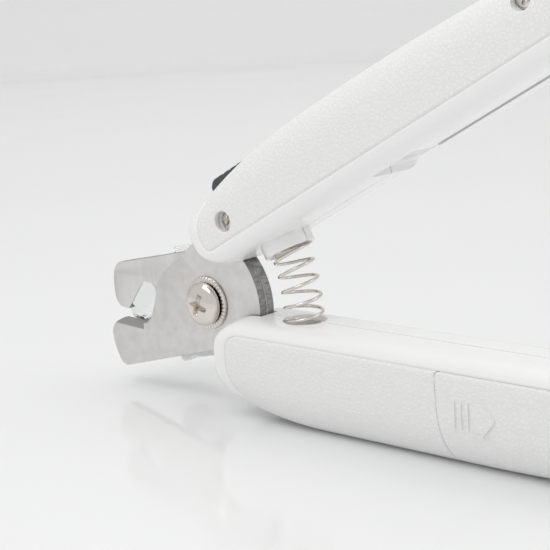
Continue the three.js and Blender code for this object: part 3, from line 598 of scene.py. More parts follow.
def grain_white():
    """White plastic moulded with a fine leather grain: pebbles parted by shallow creases, with painted shade
    that makes the creases a little darker.
    """
    s = Surface("grain_white", (0.9, 0.9, 0.9), 0.42)
    wander = s.add("ShaderNodeTexNoise", Vector=s.coordinates(), Scale=0.9, Detail=2.0).outputs["Color"]
    bent = s.add("ShaderNodeMix", {"data_type": "VECTOR"})
    bent.inputs["Factor"].default_value = 0.28
    s.tree.links.new(s.coordinates(), bent.inputs[4])
    moved = s.add("ShaderNodeVectorMath", {"operation": "ADD"})
    s.tree.links.new(s.coordinates(), moved.inputs[0])
    s.tree.links.new(wander, moved.inputs[1])
    s.tree.links.new(moved.outputs["Vector"], bent.inputs[5])
    pebbles = s.add("ShaderNodeTexVoronoi", {"feature": "DISTANCE_TO_EDGE"}, Scale=1 / 0.85)
    s.tree.links.new(bent.outputs[1], pebbles.inputs["Vector"])
    crease = s.ramp(pebbles.outputs["Distance"], 0.0, 0.25)
    s.bump(crease, 0.07, 0.8)
    s.bump(s.noise(0.16, 2), 0.006)
    s.roughness(s.noise(0.5), 0.36, 0.46)
    # Painted shade: the creases are painted a little darker than the pebble tops.
    s.tint(crease, (0.88, 0.88, 0.88), (0.91, 0.91, 0.91))
    return s.material


def brushed_steel(name, stretch, colour=(0.60, 0.595, 0.585), roughness=(0.26, 0.4), depth=0.004):
    s = Surface(name, colour, 0.32, 1.0)
    lines = s.noise(0.12, 3, stretch, 0.7)
    s.roughness(lines, *roughness)
    s.bump(lines, depth)
    s.tint(s.noise(2.5, 3, stretch), tuple(0.93 * c for c in colour), tuple(min(1, 1.05 * c) for c in colour))
    return s.material


def sheared_steel():
    """The punched edge of a plate: dark, torn and dull."""
    s = Surface("sheared_steel", (0.2, 0.2, 0.2), 0.55, 0.85)
    s.bump(s.noise(0.25, 4, (1, 0.35, 1)), 0.03)
    s.tint(s.noise(0.5, 3, (1, 0.3, 1)), (0.2, 0.2, 0.198), (0.46, 0.455, 0.45))
    return s.material


def nickel(name="nickel", roughness=(0.07, 0.16)):
    s = Surface(name, (0.74, 0.7, 0.655), 0.1, 1.0)
    s.roughness(s.noise(1.2, 4), *roughness)
    s.bump(s.noise(0.7, 3), 0.003)
    return s.material


def slate():
    s = Surface("slate", (0.062, 0.066, 0.078), 0.42)
    s.bump(s.noise(0.22, 3), 0.012)
    s.roughness(s.noise(1.5, 3), 0.36, 0.5)
    s.tint(s.noise(3.0), (0.056, 0.06, 0.071), (0.07, 0.074, 0.087))
    return s.material


def clear():
    s = Surface("clear", (0.985, 0.99, 0.995), 0.08, 0.0, Transmission_Weight=0.9, IOR=1.18)
    s.roughness(s.noise(4.0), 0.03, 0.08)
    return s.material


def board():
    s = Surface("board_green", (0.02, 0.14, 0.06), 0.35)
    s.tint(s.noise(1.5, 2), (0.015, 0.11, 0.045), (0.03, 0.17, 0.075))
    return s.material


def battery_wrap():
    s = Surface("battery_wrap", (0.1, 0.13, 0.17), 0.25, 0.4)
    s.tint(s.noise(3.0), (0.09, 0.12, 0.16), (0.12, 0.15, 0.19))
    return s.material


def file_steel():
    """Fine crossed cuts over the faces of a nail file."""
    s = Surface("file_steel", (0.42, 0.415, 0.41), 0.42, 1.0)
    for way in (1, -1):
        wave = s.add("ShaderNodeTexWave", {"bands_direction": "DIAGONAL"}, Vector=s.coordinates((1, 1, way)),
                     Scale=0.95, Distortion=0.2)
        s.bump(wave.outputs["Fac"], 0.05)
    return s.material


def diode():
    s = Surface("diode", (0.9, 0.82, 0.45), 0.2, 0.0, Transmission_Weight=0.35, IOR=1.5)
    s.tint(s.noise(0.8), (0.88, 0.8, 0.42), (0.93, 0.86, 0.5))
    return s.material


GLOSS_WHITE = gloss_white()
GRAIN_WHITE = grain_white()
REAR_STEEL = brushed_steel("rear_blade_steel", (1, 1, 0.03), (0.74, 0.73, 0.715))
FRONT_STEEL = brushed_steel("front_blade_steel", (1, 1, 1), (0.74, 0.73, 0.715), (0.34, 0.46), 0.006)
GROUND_STEEL = brushed_steel("ground_steel", (0.1, 1, 1), (0.42, 0.415, 0.41), (0.24, 0.34), 0.006)
SHEARED_STEEL = sheared_steel()
NICKEL = nickel()
SPRING_NICKEL = nickel("spring_nickel", (0.12, 0.2))
SLATE = slate()
CLEAR = clear()
BOARD = board()
BATTERY = battery_wrap()
FILE_STEEL = file_steel()
DIODE = diode()


# CAD nodes that keep their own shape, and those that the pieces below stand for.
for material, nodes in (
        (NICKEL, "lock_bolt file_pin battery_contact_rear battery_contact_front pivot_screw serrated_washer"),
        (NICKEL, "pivot_nut lower_nose_screw lower_mid_screw upper_nose_screw upper_tail_screw"),
        (GLOSS_WHITE, "lower_front_shell lower_rear_shell upper_front_shell upper_rear_shell lamp_bezel"),
        (GRAIN_WHITE, "lower_front_grip lower_rear_grip upper_front_grip upper_rear_grip battery_door"),
        (GLOSS_WHITE, "catcher_rail"), (CLEAR, "led lamp_lens clippings_catcher"), (BATTERY, "battery"),
        (BOARD, "circuit_board"), (SLATE, "tact_switch lock_slider light_button"), (REAR_STEEL, "rear_blade"),
        (FRONT_STEEL, "front_blade"), (SPRING_NICKEL, "handle_spring"), (FILE_STEEL, "nail_file")):
    for node in nodes.split():
        mesh = frame["nodes"][node].data
        mesh.materials.clear()
        mesh.materials.append(material)


# ---- handle shells, grips and battery door -------------------------------------------------------------
SIDES = {"front": (-20, -SPLIT), "rear": (SPLIT, 20)}
PANEL_SIDES = {"front": (-20, -0.2), "rear": (0.2, 20)}
SCREWS = {
    "upper_nose_screw": ("upper", 19.4, 10.7),
    "upper_tail_screw": ("upper", 98.0, 14.6),
    "lower_nose_screw": ("lower", 19.4, 10.0),
    "lower_mid_screw": ("lower", 59.5, 10.5),
}
SCREW_SIDE = {"upper": "front", "lower": "rear"}
HEAD_SEAT = HALF_WIDTH - 1.75 - 1.3
OUTWARD = {"front": -1, "rear": 1}
SPRING_U, SPRING_R, SPRING_WIRE, SPRING_TURNS, SPRING_BOW = 24.0, 3.6, 0.65, 5.75, 17
SPRING_POCKET = 2.0
BOSS_U, BOSS_R, BOSS_END = 24.6, 5.1, 0.8
LOCK = dict(front=14.9, back=29.2, floor=16.9, top=20.0, half=3.4, travel=3.4, stem=(26.2, 28.6))
FILE = dict(start=66, pivot_u=107.5, pivot_v=8.0, width=7.0, half=0.75, slot_half=1.05)
CELL = dict(r=5.25, start=65.5, length=43.5, v=11.0, y=-1.2)
CELL_BAY = (62.5, 111.4)
BUTTON = dict(u=50.5, v=10.5, r=3.2, flange=3.9)
LAND = (FORM["lower"]["crown_v"] - REST_CUT, 40)
HANDLE_LONG, HANDLE_TALL = (-10, 140), (-10, 40)


def panel_prism(handle, side, grow):
    """Everything seen inside a side panel's outline."""
    near, far = PANEL_SIDES[side]
    reach = (near, far + grow) if side == "front" else (near - grow, far)
    return handle_plate(handle, panel_outline(handle, grow), *reach, 20)


def door_prism(grow):
    return handle_plate("lower", door_outline(grow), -20, PANEL_SIDES["front"][1] + grow, 20)


def counterbores(handle, side, radius=2.0):
    if side != SCREW_SIDE[handle]:
        return []
    ys = sorted((OUTWARD[side] * 12, OUTWARD[side] * HEAD_SEAT))
    return [bar(place(h, u, v), radius, *ys) for h, u, v in SCREWS.values() if h == handle]


def lead_ins(handle, side):
    """Small chamfers round the mouths of the screw holes."""
    if side != SCREW_SIDE[handle]:
        return []
    out = OUTWARD[side]
    cones = []
    for h, u, v in SCREWS.values():
        if h == handle:
            level = HALF_WIDTH - 0.24
            cone = [(0, level - 2), (2.0, level - 0.1), (2.6, level + 0.5), (0, level + 0.5)]
            cones.append(turned("cone", cone, facing(place(h, u, v), out)))
    return cones


def upright(handle, u, vs, radius, sides=72):
    """A round bar that stands square on a handle's inner face."""
    x, z = place(handle, u, sum(vs) / 2)
    matrix = Matrix.Translation((x, 0, z)) @ Matrix.Rotation(-TILT[handle], 4, "Y")
    half = (vs[1] - vs[0]) / 2
    return turned("upright", [(0, -half), (radius, -half), (radius, half), (0, half)], matrix, sides)


def lock_rooms():
    return [
        handle_box("upper", (LOCK["front"] - LOCK["travel"] - 0.6, LOCK["back"] + 0.4), (LOCK["floor"], 30),
                   (-LOCK["half"] - 0.3, LOCK["half"] + 0.3)),
        handle_box("upper", (LOCK["stem"][0] - LOCK["travel"] - 0.3, LOCK["stem"][1] + 0.3),
                   (12, LOCK["floor"] + 1), (-1.3, 1.8)),
        handle_box("upper", (10.8, 29), (9.2, 11.8), (0.2, 1.8)),
        handle_box("upper", (12.2, 29), (6.6, 14.3), (0.2, 1.8)),
    ]


def file_rooms():
    top = FORM["upper"]["inner_v"] + FILE["width"] + 2.2
    slot = handle_box("upper", (FILE["start"] - 0.6, 130), (-5, top), (-FILE["slot_half"], FILE["slot_half"]))
    scoop = handle_plate("upper", [(54, -3, 0), (54.6, 5.0, 1.5), (65, 5.0, 2), (68, -3, 0)], -5.6, 12)
    pin = bar(place("upper", FILE["pivot_u"], FILE["pivot_v"]), 1.8, -6.5, 6.5)
    return [slot, scoop, pin]


def battery_rooms(side):
    low, high = CELL_BAY
    v = CELL["v"]
    centre = place("lower", (low + high) / 2, v)
    matrix = Matrix.Translation((centre[0], CELL["y"], centre[1])) @ Matrix.Rotation(math.pi / 2, 4, "Y")
    half = (high - low) / 2
    room = CELL["r"] + 0.3
    tube = turned("tube", [(0, -half), (room, -half), (room, half), (0, half)], matrix)
    rooms = [tube, handle_box("lower", (63.4, 64.8), (6.2, 15.8), (-5.2, 2.8))]
    if side == "front":
        rooms += [handle_box("lower", (low, high), (v - room - 0.1, v + room + 0.1), (-9, -1))]
    return rooms


def tang_room(handle):
    """Room in the handle's nose for its blade's tang."""
    tangs = {"upper": [(6, 5.7), (46.3, 5.7), (46.3, 14.8), (6, 14.8)],
             "lower": [(6, 3.7), (44.3, 3.7), (44.3, 12.9), (6, 12.9)]}
    ys = (FRONT_Y[0] - 0.3, FRONT_Y[1] + 0.3) if handle == "upper" else (REAR_Y[0] - 0.3, REAR_Y[1] + 0.3)
    return handle_plate(handle, tangs[handle], *ys)


BUTTON_AT = place("lower", BUTTON["u"], BUTTON["v"])
LAMP = dict(x=-14.0, z=-12.7, y=6.2, r=3.1, aim=120)
LAMP_MATRIX = (Matrix.Translation((LAMP["x"], LAMP["y"], LAMP["z"]))
               @ Matrix.Rotation(math.radians(90 - LAMP["aim"]), 4, "Y"))


def lamp_arm():
    """The arm from the lower handle's nose to the lamp's socket behind the jaws."""
    side = [(8.7, -10.2, 0), (8.4, -13.4, 0), (-5.1, -13.0, 2), (-9.3, -14.0, 1), (-12.1, -13.7, 0),
            (-8.9, -10.2, 1)]
    arm = soften(plate(rounded(side), 3.4, 8.0), 0.4, 3)
    r = LAMP["r"]
    bowl = [(0, -3.5), (1.2, -3.48), (2.2, -3.3), (3.0, -2.92), (3.6, -2.4), (3.95, -1.8), (r + 1.0, -1.2)]
    socket = turned("socket", [*bowl, (r + 1.0, 0.25), (r + 0.85, 0.4), (0, 0.4)], LAMP_MATRIX)
    room = turned("room", [(0, -2.6), (r - 0.5, -2.6), (r + 0.25, -1.9), (r + 0.25, 4), (0, 4)], LAMP_MATRIX)
    return cut(join(arm, socket), room)


def half_space(handle, side):
    """The side of a handle that one of its shells fills."""
    return handle_box(handle, HANDLE_LONG, HANDLE_TALL, SIDES[side])


def shell(handle, side):
    body = keep(fine_skin(handle), half_space(handle, side))
    recess = cut(panel_prism(handle, side, JOIN), skin(handle, RECESS))
    body = cut(body, skin(handle, WALL), recess)
    near, far = (-9, -SPLIT) if side == "front" else (SPLIT, 9)
    for h, u, v in SCREWS.values():
        if h == handle:
            body = join(body, keep(bar(place(h, u, v), 2.2, near, far), skin(handle, RECESS)))
    hub = bar((0, 0), SLOT_R, -SLOT_HALF, SLOT_HALF, 128)
    if handle == "upper":
        block = keep(handle_box("upper", (13.5, 31.5), (LOCK["floor"] - 1.9, LOCK["floor"] + 0.5), (-5.5, 5.5)),
                     skin("upper", RECESS))
        boss = soften(upright("upper", BOSS_U, (BOSS_END, FORM["upper"]["inner_v"] + 2.2), BOSS_R), 0.3, 3)
        body = join(body, keep(boss, half_space(handle, side)), keep(block, half_space(handle, side)))
        ys = (-8, -FILE["slot_half"]) if side == "front" else (FILE["slot_half"], 8)
        post = bar(place("upper", FILE["pivot_u"], FILE["pivot_v"]), 3.2, *ys)
        body = join(body, keep(post, skin("upper", RECESS)))
        recess = upright("upper", BOSS_U, (-1, BOSS_END + SPRING_POCKET), SPRING_R + 0.7)
        cuts = [recess, *lock_rooms(), *file_rooms()]
    else:
        pocket = upright("lower", SPRING_U, (-1, FORM["lower"]["inner_v"] + SPRING_POCKET), SPRING_R + 0.7)
        cuts = [pocket, *battery_rooms(side)]
        if side == "rear":
            body = join(body, keep(lamp_arm(), half_space(handle, side)))
            cuts += [bar(BUTTON_AT, BUTTON["r"] + 0.2, 4, 12), bar(BUTTON_AT, BUTTON["flange"] + 0.3, 2.9, 5.3)]
        else:
            cuts += [cut(door_prism(DOOR_GAP), skin("lower", RECESS))]
    bores = [bar(place(h, u, v), 1.05, -HEAD_SEAT, HEAD_SEAT, 24) for h, u, v in SCREWS.values() if h == handle]
    body = cut(body, hub, tang_room(handle), *bores, *counterbores(handle, side), *cuts)
    name = f"{handle}_{side}_shell"
    return finish_piece(shade_skin(body, handle), f"{name}_surface", f"{handle}_handle",
                        GLOSS_WHITE, [name])


def under_land():
    return handle_box("lower", HANDLE_LONG, LAND, (-20, 20))


def grip(handle, side):
    body = cut(fine_skin(handle), skin(handle, GRIP_THICK))
    body = keep(body, panel_prism(handle, side, 0))
    cuts = [*counterbores(handle, side), *lead_ins(handle, side)]
    if handle == "upper":
        cuts += lock_rooms()
    else:
        cuts.append(under_land())
        cuts.append(door_prism(DOOR_GAP) if side == "front" else bar(BUTTON_AT, BUTTON["r"] + 0.2, 4, 12))
    body = cut(body, *cuts)
    name = f"{handle}_{side}_grip"
    return finish_piece(shade_skin(body, handle), f"{name}_surface", f"{handle}_handle",
                        GRAIN_WHITE, [name])


def door_marks():
    """Three short ribs and an arrow, a block with a wide head, that show which way the door slides."""
    middle, half, wide = 10.6, 2.5, 0.25
    marks = [[(u - wide, middle - half, 0.2), (u + wide, middle - half, 0.2), (u + wide, middle + half, 0.2),
              (u - wide, middle + half, 0.2)] for u in (64.8, 66.2, 67.6)]
    stem, base, tip, head = 68.7, 70.4, 73.3, 3.5
    marks.append([(stem, middle - half, 0.2), (base + 0.2, middle - half, 0), (base + 0.2, middle + half, 0),
                  (stem, middle + half, 0.2)])
    marks.append([(base, middle - head, 0.2), (tip, middle, 0.3), (base, middle + head, 0.2)])
    return marks


def battery_door():
    body = keep(cut(fine_skin("lower"), skin("lower", GRIP_THICK)), door_prism(0))
    marks = [handle_plate("lower", mark, -20, -8.2, 5) for mark in door_marks()]
    raised = [keep(mark, skin("lower", -MARK_RISE)) for mark in marks]
    body = cut(join(body, *raised), under_land())
    return finish_piece(shade_skin(body, "lower"), "battery_door_surface", "door", GRAIN_WHITE,
                        ["battery_door"])


for handle in ("upper", "lower"):
    for side in ("front", "rear"):
        shell(handle, side)
        grip(handle, side)
battery_door()


# ---- blades and pivot ----------------------------------------------------------------------------------
ALONG_Y = facing((0, 0), 1)
FRONT_EDGE = ((-29.2, -6.2), (-19.6, -6.7))
REAR_EDGE = ((-26.2, -4.9), (-20.9, 1.9))
BEVEL, BEVEL_OVERRUN = 1.3, 0.2


def hub_arc(start, end, steps=64):
    angles = (math.radians(start + (end - start) * k / steps) for k in range(steps + 1))
    return [(HUB_R * math.cos(a), HUB_R * math.sin(a)) for a in angles]


FRONT_BLADE = [
    (-15.8, -1.9, 1.5), (-17.4, -5.6, 0.8), (-19.0, -6.7, 0.8), (-27.2, -6.3, 1.6), (-29.8, -8.9, 1.6),
    (-29.3, -12.5, 1.8), (-27.0, -17.0, 1.8), *hub_arc(-28, 52),
    *[place("upper", u, v) for u, v in ((13.2, 6.0), (46, 6.0), (46, 14.5), (12.5, 14.5))],
    (-0.5, 14.0), (-3.9, 11.3), (-7.3, 8.7, 1.0), (-12.3, 5.2, 0.8), (-14.2, 3.0, 1.2), (-15.0, 0.8, 1.5),
]
REAR_BLADE = [
    (-13.2, -7.2, 1.5), (-15.6, -4.4, 1.0), (-17.3, -0.3, 1.0), (-18.2, 1.4, 0.8), (-20.9, 1.9, 0.9),
    (-26.1, -4.75, 0.4), (-28.9, -4.5, 0.9), (-30.2, -2.9, 1.2), (-30.5, 1.0, 2.0), (-30.0, 3.6, 1.2),
    (-28.8, 5.1, 0.9), *hub_arc(60, -12),
    *[place("lower", u, v) for u, v in ((14.0, 4.0), (44, 4.0), (44, 12.6), (12.0, 12.6))],
    (0.7, -12.0), (-3.9, -10.8),
]


def ground_cut(edge, keen, blunt, side):
    """What grinding takes off a blade: a slope from its cutting edge to BEVEL back on the outer face.

    The steel lies to the right of the edge's direction for side 1 and to the left for side -1.
    """
    (x0, z0), (x1, z1) = edge
    along = Vector((x1 - x0, z1 - z0)).normalized()
    past = (blunt - keen) * BEVEL_OVERRUN
    corners = [(keen - past, -BEVEL * BEVEL_OVERRUN), (blunt + past, BEVEL * (1 + BEVEL_OVERRUN)),
               (blunt + past, -BEVEL), (keen - past, -BEVEL)]
    nx, nz = along.y * side, -along.x * side
    verts = [(x + nx * depth, y, z + nz * depth) for x, z in edge for y, depth in corners]
    faces = [(0, 1, 2, 3), (4, 7, 6, 5)] + [(i, i + 4, (i + 1) % 4 + 4, (i + 1) % 4) for i in range(4)]
    return fix_normals(from_faces("grind", verts, faces))


def paint_blade(obj, edge, side):
    """Outer faces keep the first finish, the punched rim takes the second and the ground slope the third."""
    (x0, z0), (x1, z1) = edge
    along = Vector((x1 - x0, 0, z1 - z0)).normalized()
    across = Vector((-along.z, 0, along.x)) * side
    for face in obj.data.polygons:
        tilt = abs(face.normal.y)
        beyond = (face.center - Vector((x0, 0, z0))).dot(across)
        reach = (face.center - Vector((x0, 0, z0))).dot(along)
        slope = 0.3 < tilt < 0.97 and abs(face.normal.dot(along)) < 0.05 and -1.7 < beyond < 0.5
        if slope and -0.5 < reach < 12 and face.area > 0.2:
            face.material_index = 2
        elif tilt < 0.6:
            face.material_index = 1
        else:
            face.material_index = 0


def build_blades():
    for name, points, ys, edge, keen, blunt, ground_side, handle, steel in (
            ("front_blade", FRONT_BLADE, FRONT_Y, FRONT_EDGE, FRONT_Y[1], FRONT_Y[0], 1, "upper", FRONT_STEEL),
            ("rear_blade", REAR_BLADE, REAR_Y, REAR_EDGE, REAR_Y[0], REAR_Y[1], -1, "lower", REAR_STEEL)):
        body = soften(plate(rounded(points, 12), *ys), 0.13, 3, 20)
        posts = [bar(place(h, u, v), 2.5, -9, 9, 32) for h, u, v in SCREWS.values() if h == handle and u < 40]
        body = cut(body, bar((0, 0), 2.75, -9, 9), *posts, ground_cut(edge, keen, blunt, ground_side))
        paint_blade(body, edge, ground_side)
        smooth(body, 25)
        slots = [face.material_index for face in body.data.polygons]
        finish_piece(body, f"{name}_plate", f"{handle}_handle",
                     (steel, SHEARED_STEEL, GROUND_STEEL), [name])
        body.data.polygons.foreach_set("material_index", slots)


def cross_recess(centre, outward, top, length, width, depth, angle):
    """A Phillips recess: two crossed slots whose ends slope in, and a hollow between them."""
    arms = []
    for turn in (angle, angle + 90):
        bottom = length * 0.42
        profile = [(-length / 2, 0.4), (-length / 2, 0), (-bottom / 2, -depth), (bottom / 2, -depth),
                   (length / 2, 0), (length / 2, 0.4)]
        verts = [(a, b * outward + top, w) for w in (-width / 2, width / 2) for a, b in profile]
        n = len(profile)
        faces = [tuple(range(n)), tuple(range(2 * n - 1, n - 1, -1))]
        faces += [(i, i + n, (i + 1) % n + n, (i + 1) % n) for i in range(n)]
        arm = fix_normals(from_faces("arm", verts, faces))
        spin = Matrix.Rotation(math.radians(turn), 4, "Y")
        arm.data.transform(Matrix.Translation((centre[0], 0, centre[1])) @ spin)
        arms.append(arm)
    hollow = turned("hollow", [(0, -depth * 1.15), (width * 0.85, 0.3), (0, 0.3)],
                    facing(centre, outward, top), 4)
    return join(arms[0], arms[1], hollow)


def pivot_screw():
    seat = FRONT_Y[0] - 1.0
    rim = [(4.25, seat - 0.02), (4.4, seat - 0.16), (4.4, seat - 0.42)]
    angles = np.linspace(0.03, math.pi / 2 - 0.03, 22)
    dome = [(4.4 * math.cos(a), seat - 0.5 - 1.8 * math.sin(a)) for a in angles]
    shank = [(0, 4.9), (1.7, 4.9), (2.0, 4.6), (2.0, 2.3), (2.6, 2.3), (2.6, seat)]
    profile = [*shank, *rim, *dome, (0, seat - 2.3)]
    body = turned("screw", profile, ALONG_Y, 128)
    body = cut(body, cross_recess((0, 0), -1, seat - 2.1, 4.9, 1.25, 1.7, 20))
    body = soften(body, 0.07, 2, 40)
    finish_piece(smooth(body, 40), "pivot_screw_dome", "lower_handle", NICKEL, ["pivot_screw"])


def serrated_washer():
    """A lock washer: a round flat ring whose face is pressed into fine radial ridges."""
    far = FRONT_Y[0] - 0.1
    near = far - 0.72
    count, ridges = 360, 40
    verts, faces = [], []
    for k in range(count):
        a = 2 * math.pi * k / count
        wave = 0.5 - 0.5 * math.cos(a * ridges)
        for radius, y, rise in (
                (2.75, far, 0), (2.75, near + 0.15, 0), (4.3, near + 0.15, 0), (4.5, near + 0.2, 0.12),
                (5.2, near + 0.24, 0.2), (5.34, near + 0.32, 0.1), (5.42, near + 0.46, 0),
                (5.42, far - 0.06, 0), (5.36, far, 0)):
            verts.append((radius * math.cos(a), y - rise * wave, radius * math.sin(a)))
    ring = len(verts) // count
    for k in range(count):
        n = (k + 1) % count
        faces += [(k * ring + j, k * ring + (j + 1) % ring, n * ring + (j + 1) % ring, n * ring + j)
                  for j in range(ring)]
    body = smooth(fix_normals(from_faces("washer", verts, faces)), 40)
    finish_piece(body, "serrated_washer_ridges", "lower_handle", NICKEL, ["serrated_washer"])


def pivot_nut():
    near = REAR_Y[1] + 0.3
    corners = [(4.0 * math.sin(math.radians(60 * k)), 4.0 * math.cos(math.radians(60 * k))) for k in range(6)]
    hexagon = plate(corners, near, near + 2.2)
    crown = turned("crown", [(0, near - 0.5), (3.7, near), (4.2, near + 0.35), (4.2, near + 1.85),
                             (3.6, near + 2.2), (0, near + 2.2)], ALONG_Y, 96)
    body = cut(keep(hexagon, crown), bar((0, 0), 2.12, -9, 9))
    body = cut(body, turned("lead", [(0, near + 1.6), (2.0, near + 1.85), (2.5, near + 2.4), (0, near + 2.4)],
                            ALONG_Y, 96))
    finish_piece(smooth(body, 30), "pivot_nut_hexagon", "lower_handle", NICKEL, ["pivot_nut"])


def small_screw(name):
    handle, u, v = SCREWS[name]
    out = OUTWARD[SCREW_SIDE[handle]]
    at = place(handle, u, v)
    seat = HEAD_SEAT + 0.1
    profile = [(0, -4.2), (0.75, -4.2), (0.85, -4.0), (0.85, seat), (1.72, seat), (1.8, seat + 0.1),
               (1.8, seat + 0.85), (1.7, seat + 1.05), (1.45, seat + 1.17), (0.9, seat + 1.2), (0, seat + 1.2)]
    body = turned("screw", profile, facing(at, out), 72)
    body = cut(body, cross_recess(at, out, out * (seat + 1.18), 2.3, 0.5, 0.75, 15))
    finish_piece(smooth(soften(body, 0.04, 1, 40), 40), f"{name}_head", f"{handle}_handle", NICKEL,
                 [name])


def spring_point(t):
    foot = place("lower", SPRING_U, FORM["lower"]["inner_v"] + SPRING_POCKET - SPRING_WIRE / 2 - 0.1)
    head = place("upper", BOSS_U, BOSS_END + SPRING_POCKET - SPRING_WIRE / 2 - 0.1)
    s = t - 0.02 * math.sin(2 * math.pi * t)
    h = (2 * s ** 3 - 3 * s ** 2 + 1, s ** 3 - 2 * s ** 2 + s, 3 * s ** 2 - 2 * s ** 3, s ** 3 - s ** 2)
    ways = [(-math.sin(TILT[side]), math.cos(TILT[side])) for side in ("lower", "upper")]
    x, z = (h[0] * foot[i] + h[1] * SPRING_BOW * ways[0][i] + h[2] * head[i] + h[3] * SPRING_BOW * ways[1][i]
            for i in (0, 1))
    tilt = s * TILT["upper"]
    angle = 2 * math.pi * SPRING_TURNS * t
    across = SPRING_R * math.cos(angle)
    centre = Vector((x, 0, z))
    arm = Vector((across * math.cos(tilt), SPRING_R * math.sin(angle), across * math.sin(tilt)))
    return centre, centre + arm


def handle_spring():
    steps, sides, radius = 340, 14, SPRING_WIRE / 2
    line = [spring_point(k / steps) for k in range(steps + 1)]
    verts, faces = [], []
    for k, (centre, point) in enumerate(line):
        tangent = (line[min(k + 1, steps)][1] - line[max(k - 1, 0)][1]).normalized()
        out = (point - centre).normalized()
        out = (out - tangent * out.dot(tangent)).normalized()
        side = tangent.cross(out)
        for j in range(sides):
            a = 2 * math.pi * j / sides
            verts.append(point + (out * math.cos(a) + side * math.sin(a)) * radius)
    for k in range(steps):
        for j in range(sides):
            n = (j + 1) % sides
            faces.append((k * sides + j, k * sides + n, (k + 1) * sides + n, (k + 1) * sides + j))
    faces.append(tuple(range(sides)))
    faces.append(tuple(range((steps + 1) * sides - 1, steps * sides - 1, -1)))
    obj = smooth(fix_normals(from_faces("spring", verts, faces)), 50)
    obj.name = obj.data.name = "handle_spring_coil"
    obj.data.transform(Matrix.Translation(PIVOT) @ Matrix.Scale(MM, 4))
    obj.data.materials.append(SPRING_NICKEL)
    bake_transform(obj)
    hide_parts("handle_spring")


build_blades()
pivot_screw()
serrated_washer()
pivot_nut()
for screw_name in SCREWS:
    small_screw(screw_name)
handle_spring()


# ---- slide lock, nail file, light, catcher and battery --------------------------------------------------
def lock_slider():
    front, back_end, floor, top = (LOCK[key] for key in ("front", "back", "floor", "top"))
    side = [(front + 0.8, floor + 0.3, 0.3), (back_end, floor + 0.3, 0.3), (back_end, top - 0.1, 0.6),
            (front + 1.2, top, 0.9), (front, floor + 1.6, 0.6)]
    knob = soften(handle_plate("upper", side, -LOCK["half"], LOCK["half"], 8), 0.35, 4, 40)
    ridges = [bar(place("upper", u, top + 0.25), 0.5, -9, 9, 32) for u in (19.5, 21.5, 23.5)]
    knob = soften(cut(knob, *ridges), 0.08, 2, 40)
    knob = join(knob, handle_box("upper", LOCK["stem"], (15.6, floor + 0.6), (-1, 1)))
    finish_piece(smooth(knob, 35), "lock_slider_knob", "slide_lock", SLATE, ["lock_slider"])


def nail_file():
    low = FORM["upper"]["inner_v"] + 0.3
    end = FILE["pivot_u"] + FILE["width"] / 2
    side = [(FILE["start"], low, 0.8), (end, low, 3), (end, low + FILE["width"] + 1, 3),
            (FILE["start"] + 6, low + FILE["width"], 3)]
    body = soften(handle_plate("upper", side, -FILE["half"], FILE["half"], 16), 0.08, 2, 30)
    body = cut(body, bar(place("upper", FILE["pivot_u"], FILE["pivot_v"]), 1.65, -9, 9))
    slots = [1 if abs(face.normal.y) < 0.8 else 0 for face in body.data.polygons]
    finish_piece(smooth(body, 25), "nail_file_blade", "file_blade", (FILE_STEEL, SHEARED_STEEL),
                 ["nail_file"])
    body.data.polygons.foreach_set("material_index", slots)


def light_button():
    r, flange = BUTTON["r"], BUTTON["flange"]
    profile = [(0, 3.9), (flange, 3.9), (flange, 4.7), (flange - 0.1, 4.8), (r, 4.8), (r, 8.15),
               (r - 0.06, 8.35), (r - 0.2, 8.52), (r - 0.45, 8.6), (r - 0.8, 8.52), (1.2, 8.34), (0, 8.3)]
    body = turned("button", profile, facing(BUTTON_AT, 1), 96)
    finish_piece(smooth(body, 40), "light_button_cap", "lamp_switch", SLATE, ["light_button"])


def lamp():
    r = LAMP["r"]
    ring = [(0, -2.4), (r - 0.6, -2.4), (r - 0.2, -2.2), (r, -1.8), (r, 2.05), (r - 0.06, 2.16), (r - 0.2, 2.2),
            (r - 0.55, 2.2), (r - 0.7, 2.1), (r - 0.7, -1.4), (0, -1.4)]
    bezel = turned("bezel", ring, LAMP_MATRIX, 96)
    finish_piece(smooth(bezel, 40), "lamp_bezel_ring", "lower_handle", GLOSS_WHITE,
                 ["lamp_bezel"])
    edge = r - 0.9
    dome = [(edge * math.cos(a), 1.75 + 1.0 * math.sin(a)) for a in np.linspace(0, math.pi / 2 - 0.05, 14)]
    lens = turned("lens", [(0, 1.1), (edge, 1.1), *dome, (0, 2.75)], LAMP_MATRIX, 96)
    finish_piece(smooth(lens, 50), "lamp_lens_dome", "lower_handle", CLEAR, ["lamp_lens"])
    tip = [(1.1 * math.cos(a), 0.0 + 0.8 * math.sin(a)) for a in np.linspace(0, math.pi / 2 - 0.05, 12)]
    body = [(0, -1.2), (1.25, -1.2), (1.25, -0.9), (1.1, -0.9), *tip, (0, 0.8)]
    diode = turned("diode", body, LAMP_MATRIX, 64)
    finish_piece(smooth(diode, 50), "led_dome", "lower_handle", DIODE, ["led"])


CATCHER = dict(near=2.5, far=9.6, wall=0.9, lug_thick=1.6)
CATCHER_RIM = [(-11.5, 6.3, 2), (-25.8, 3.6, 2), (-28.7, -0.7, 2), (-28.7, -7.4, 2.5), (-12.7, -8.6, 2)]
CATCHER_BACK = [(-12.1, 6.6, 2), (-25.1, 4.2, 2), (-27.2, -0.9, 2), (-27.0, -6.3, 2.5), (-13.2, -7.4, 2)]
CATCHER_LUG = [(-9.0, 4.7, 0), (-8.7, 10.2, 0.6), (-13.7, 9.35, 0.7), (-14.1, 4.3, 0)]
RAIL = dict(start=-17, end=-6.6, t=-0.5, half=2.0, near=2.35, far=3.6, tilt=math.radians(14))


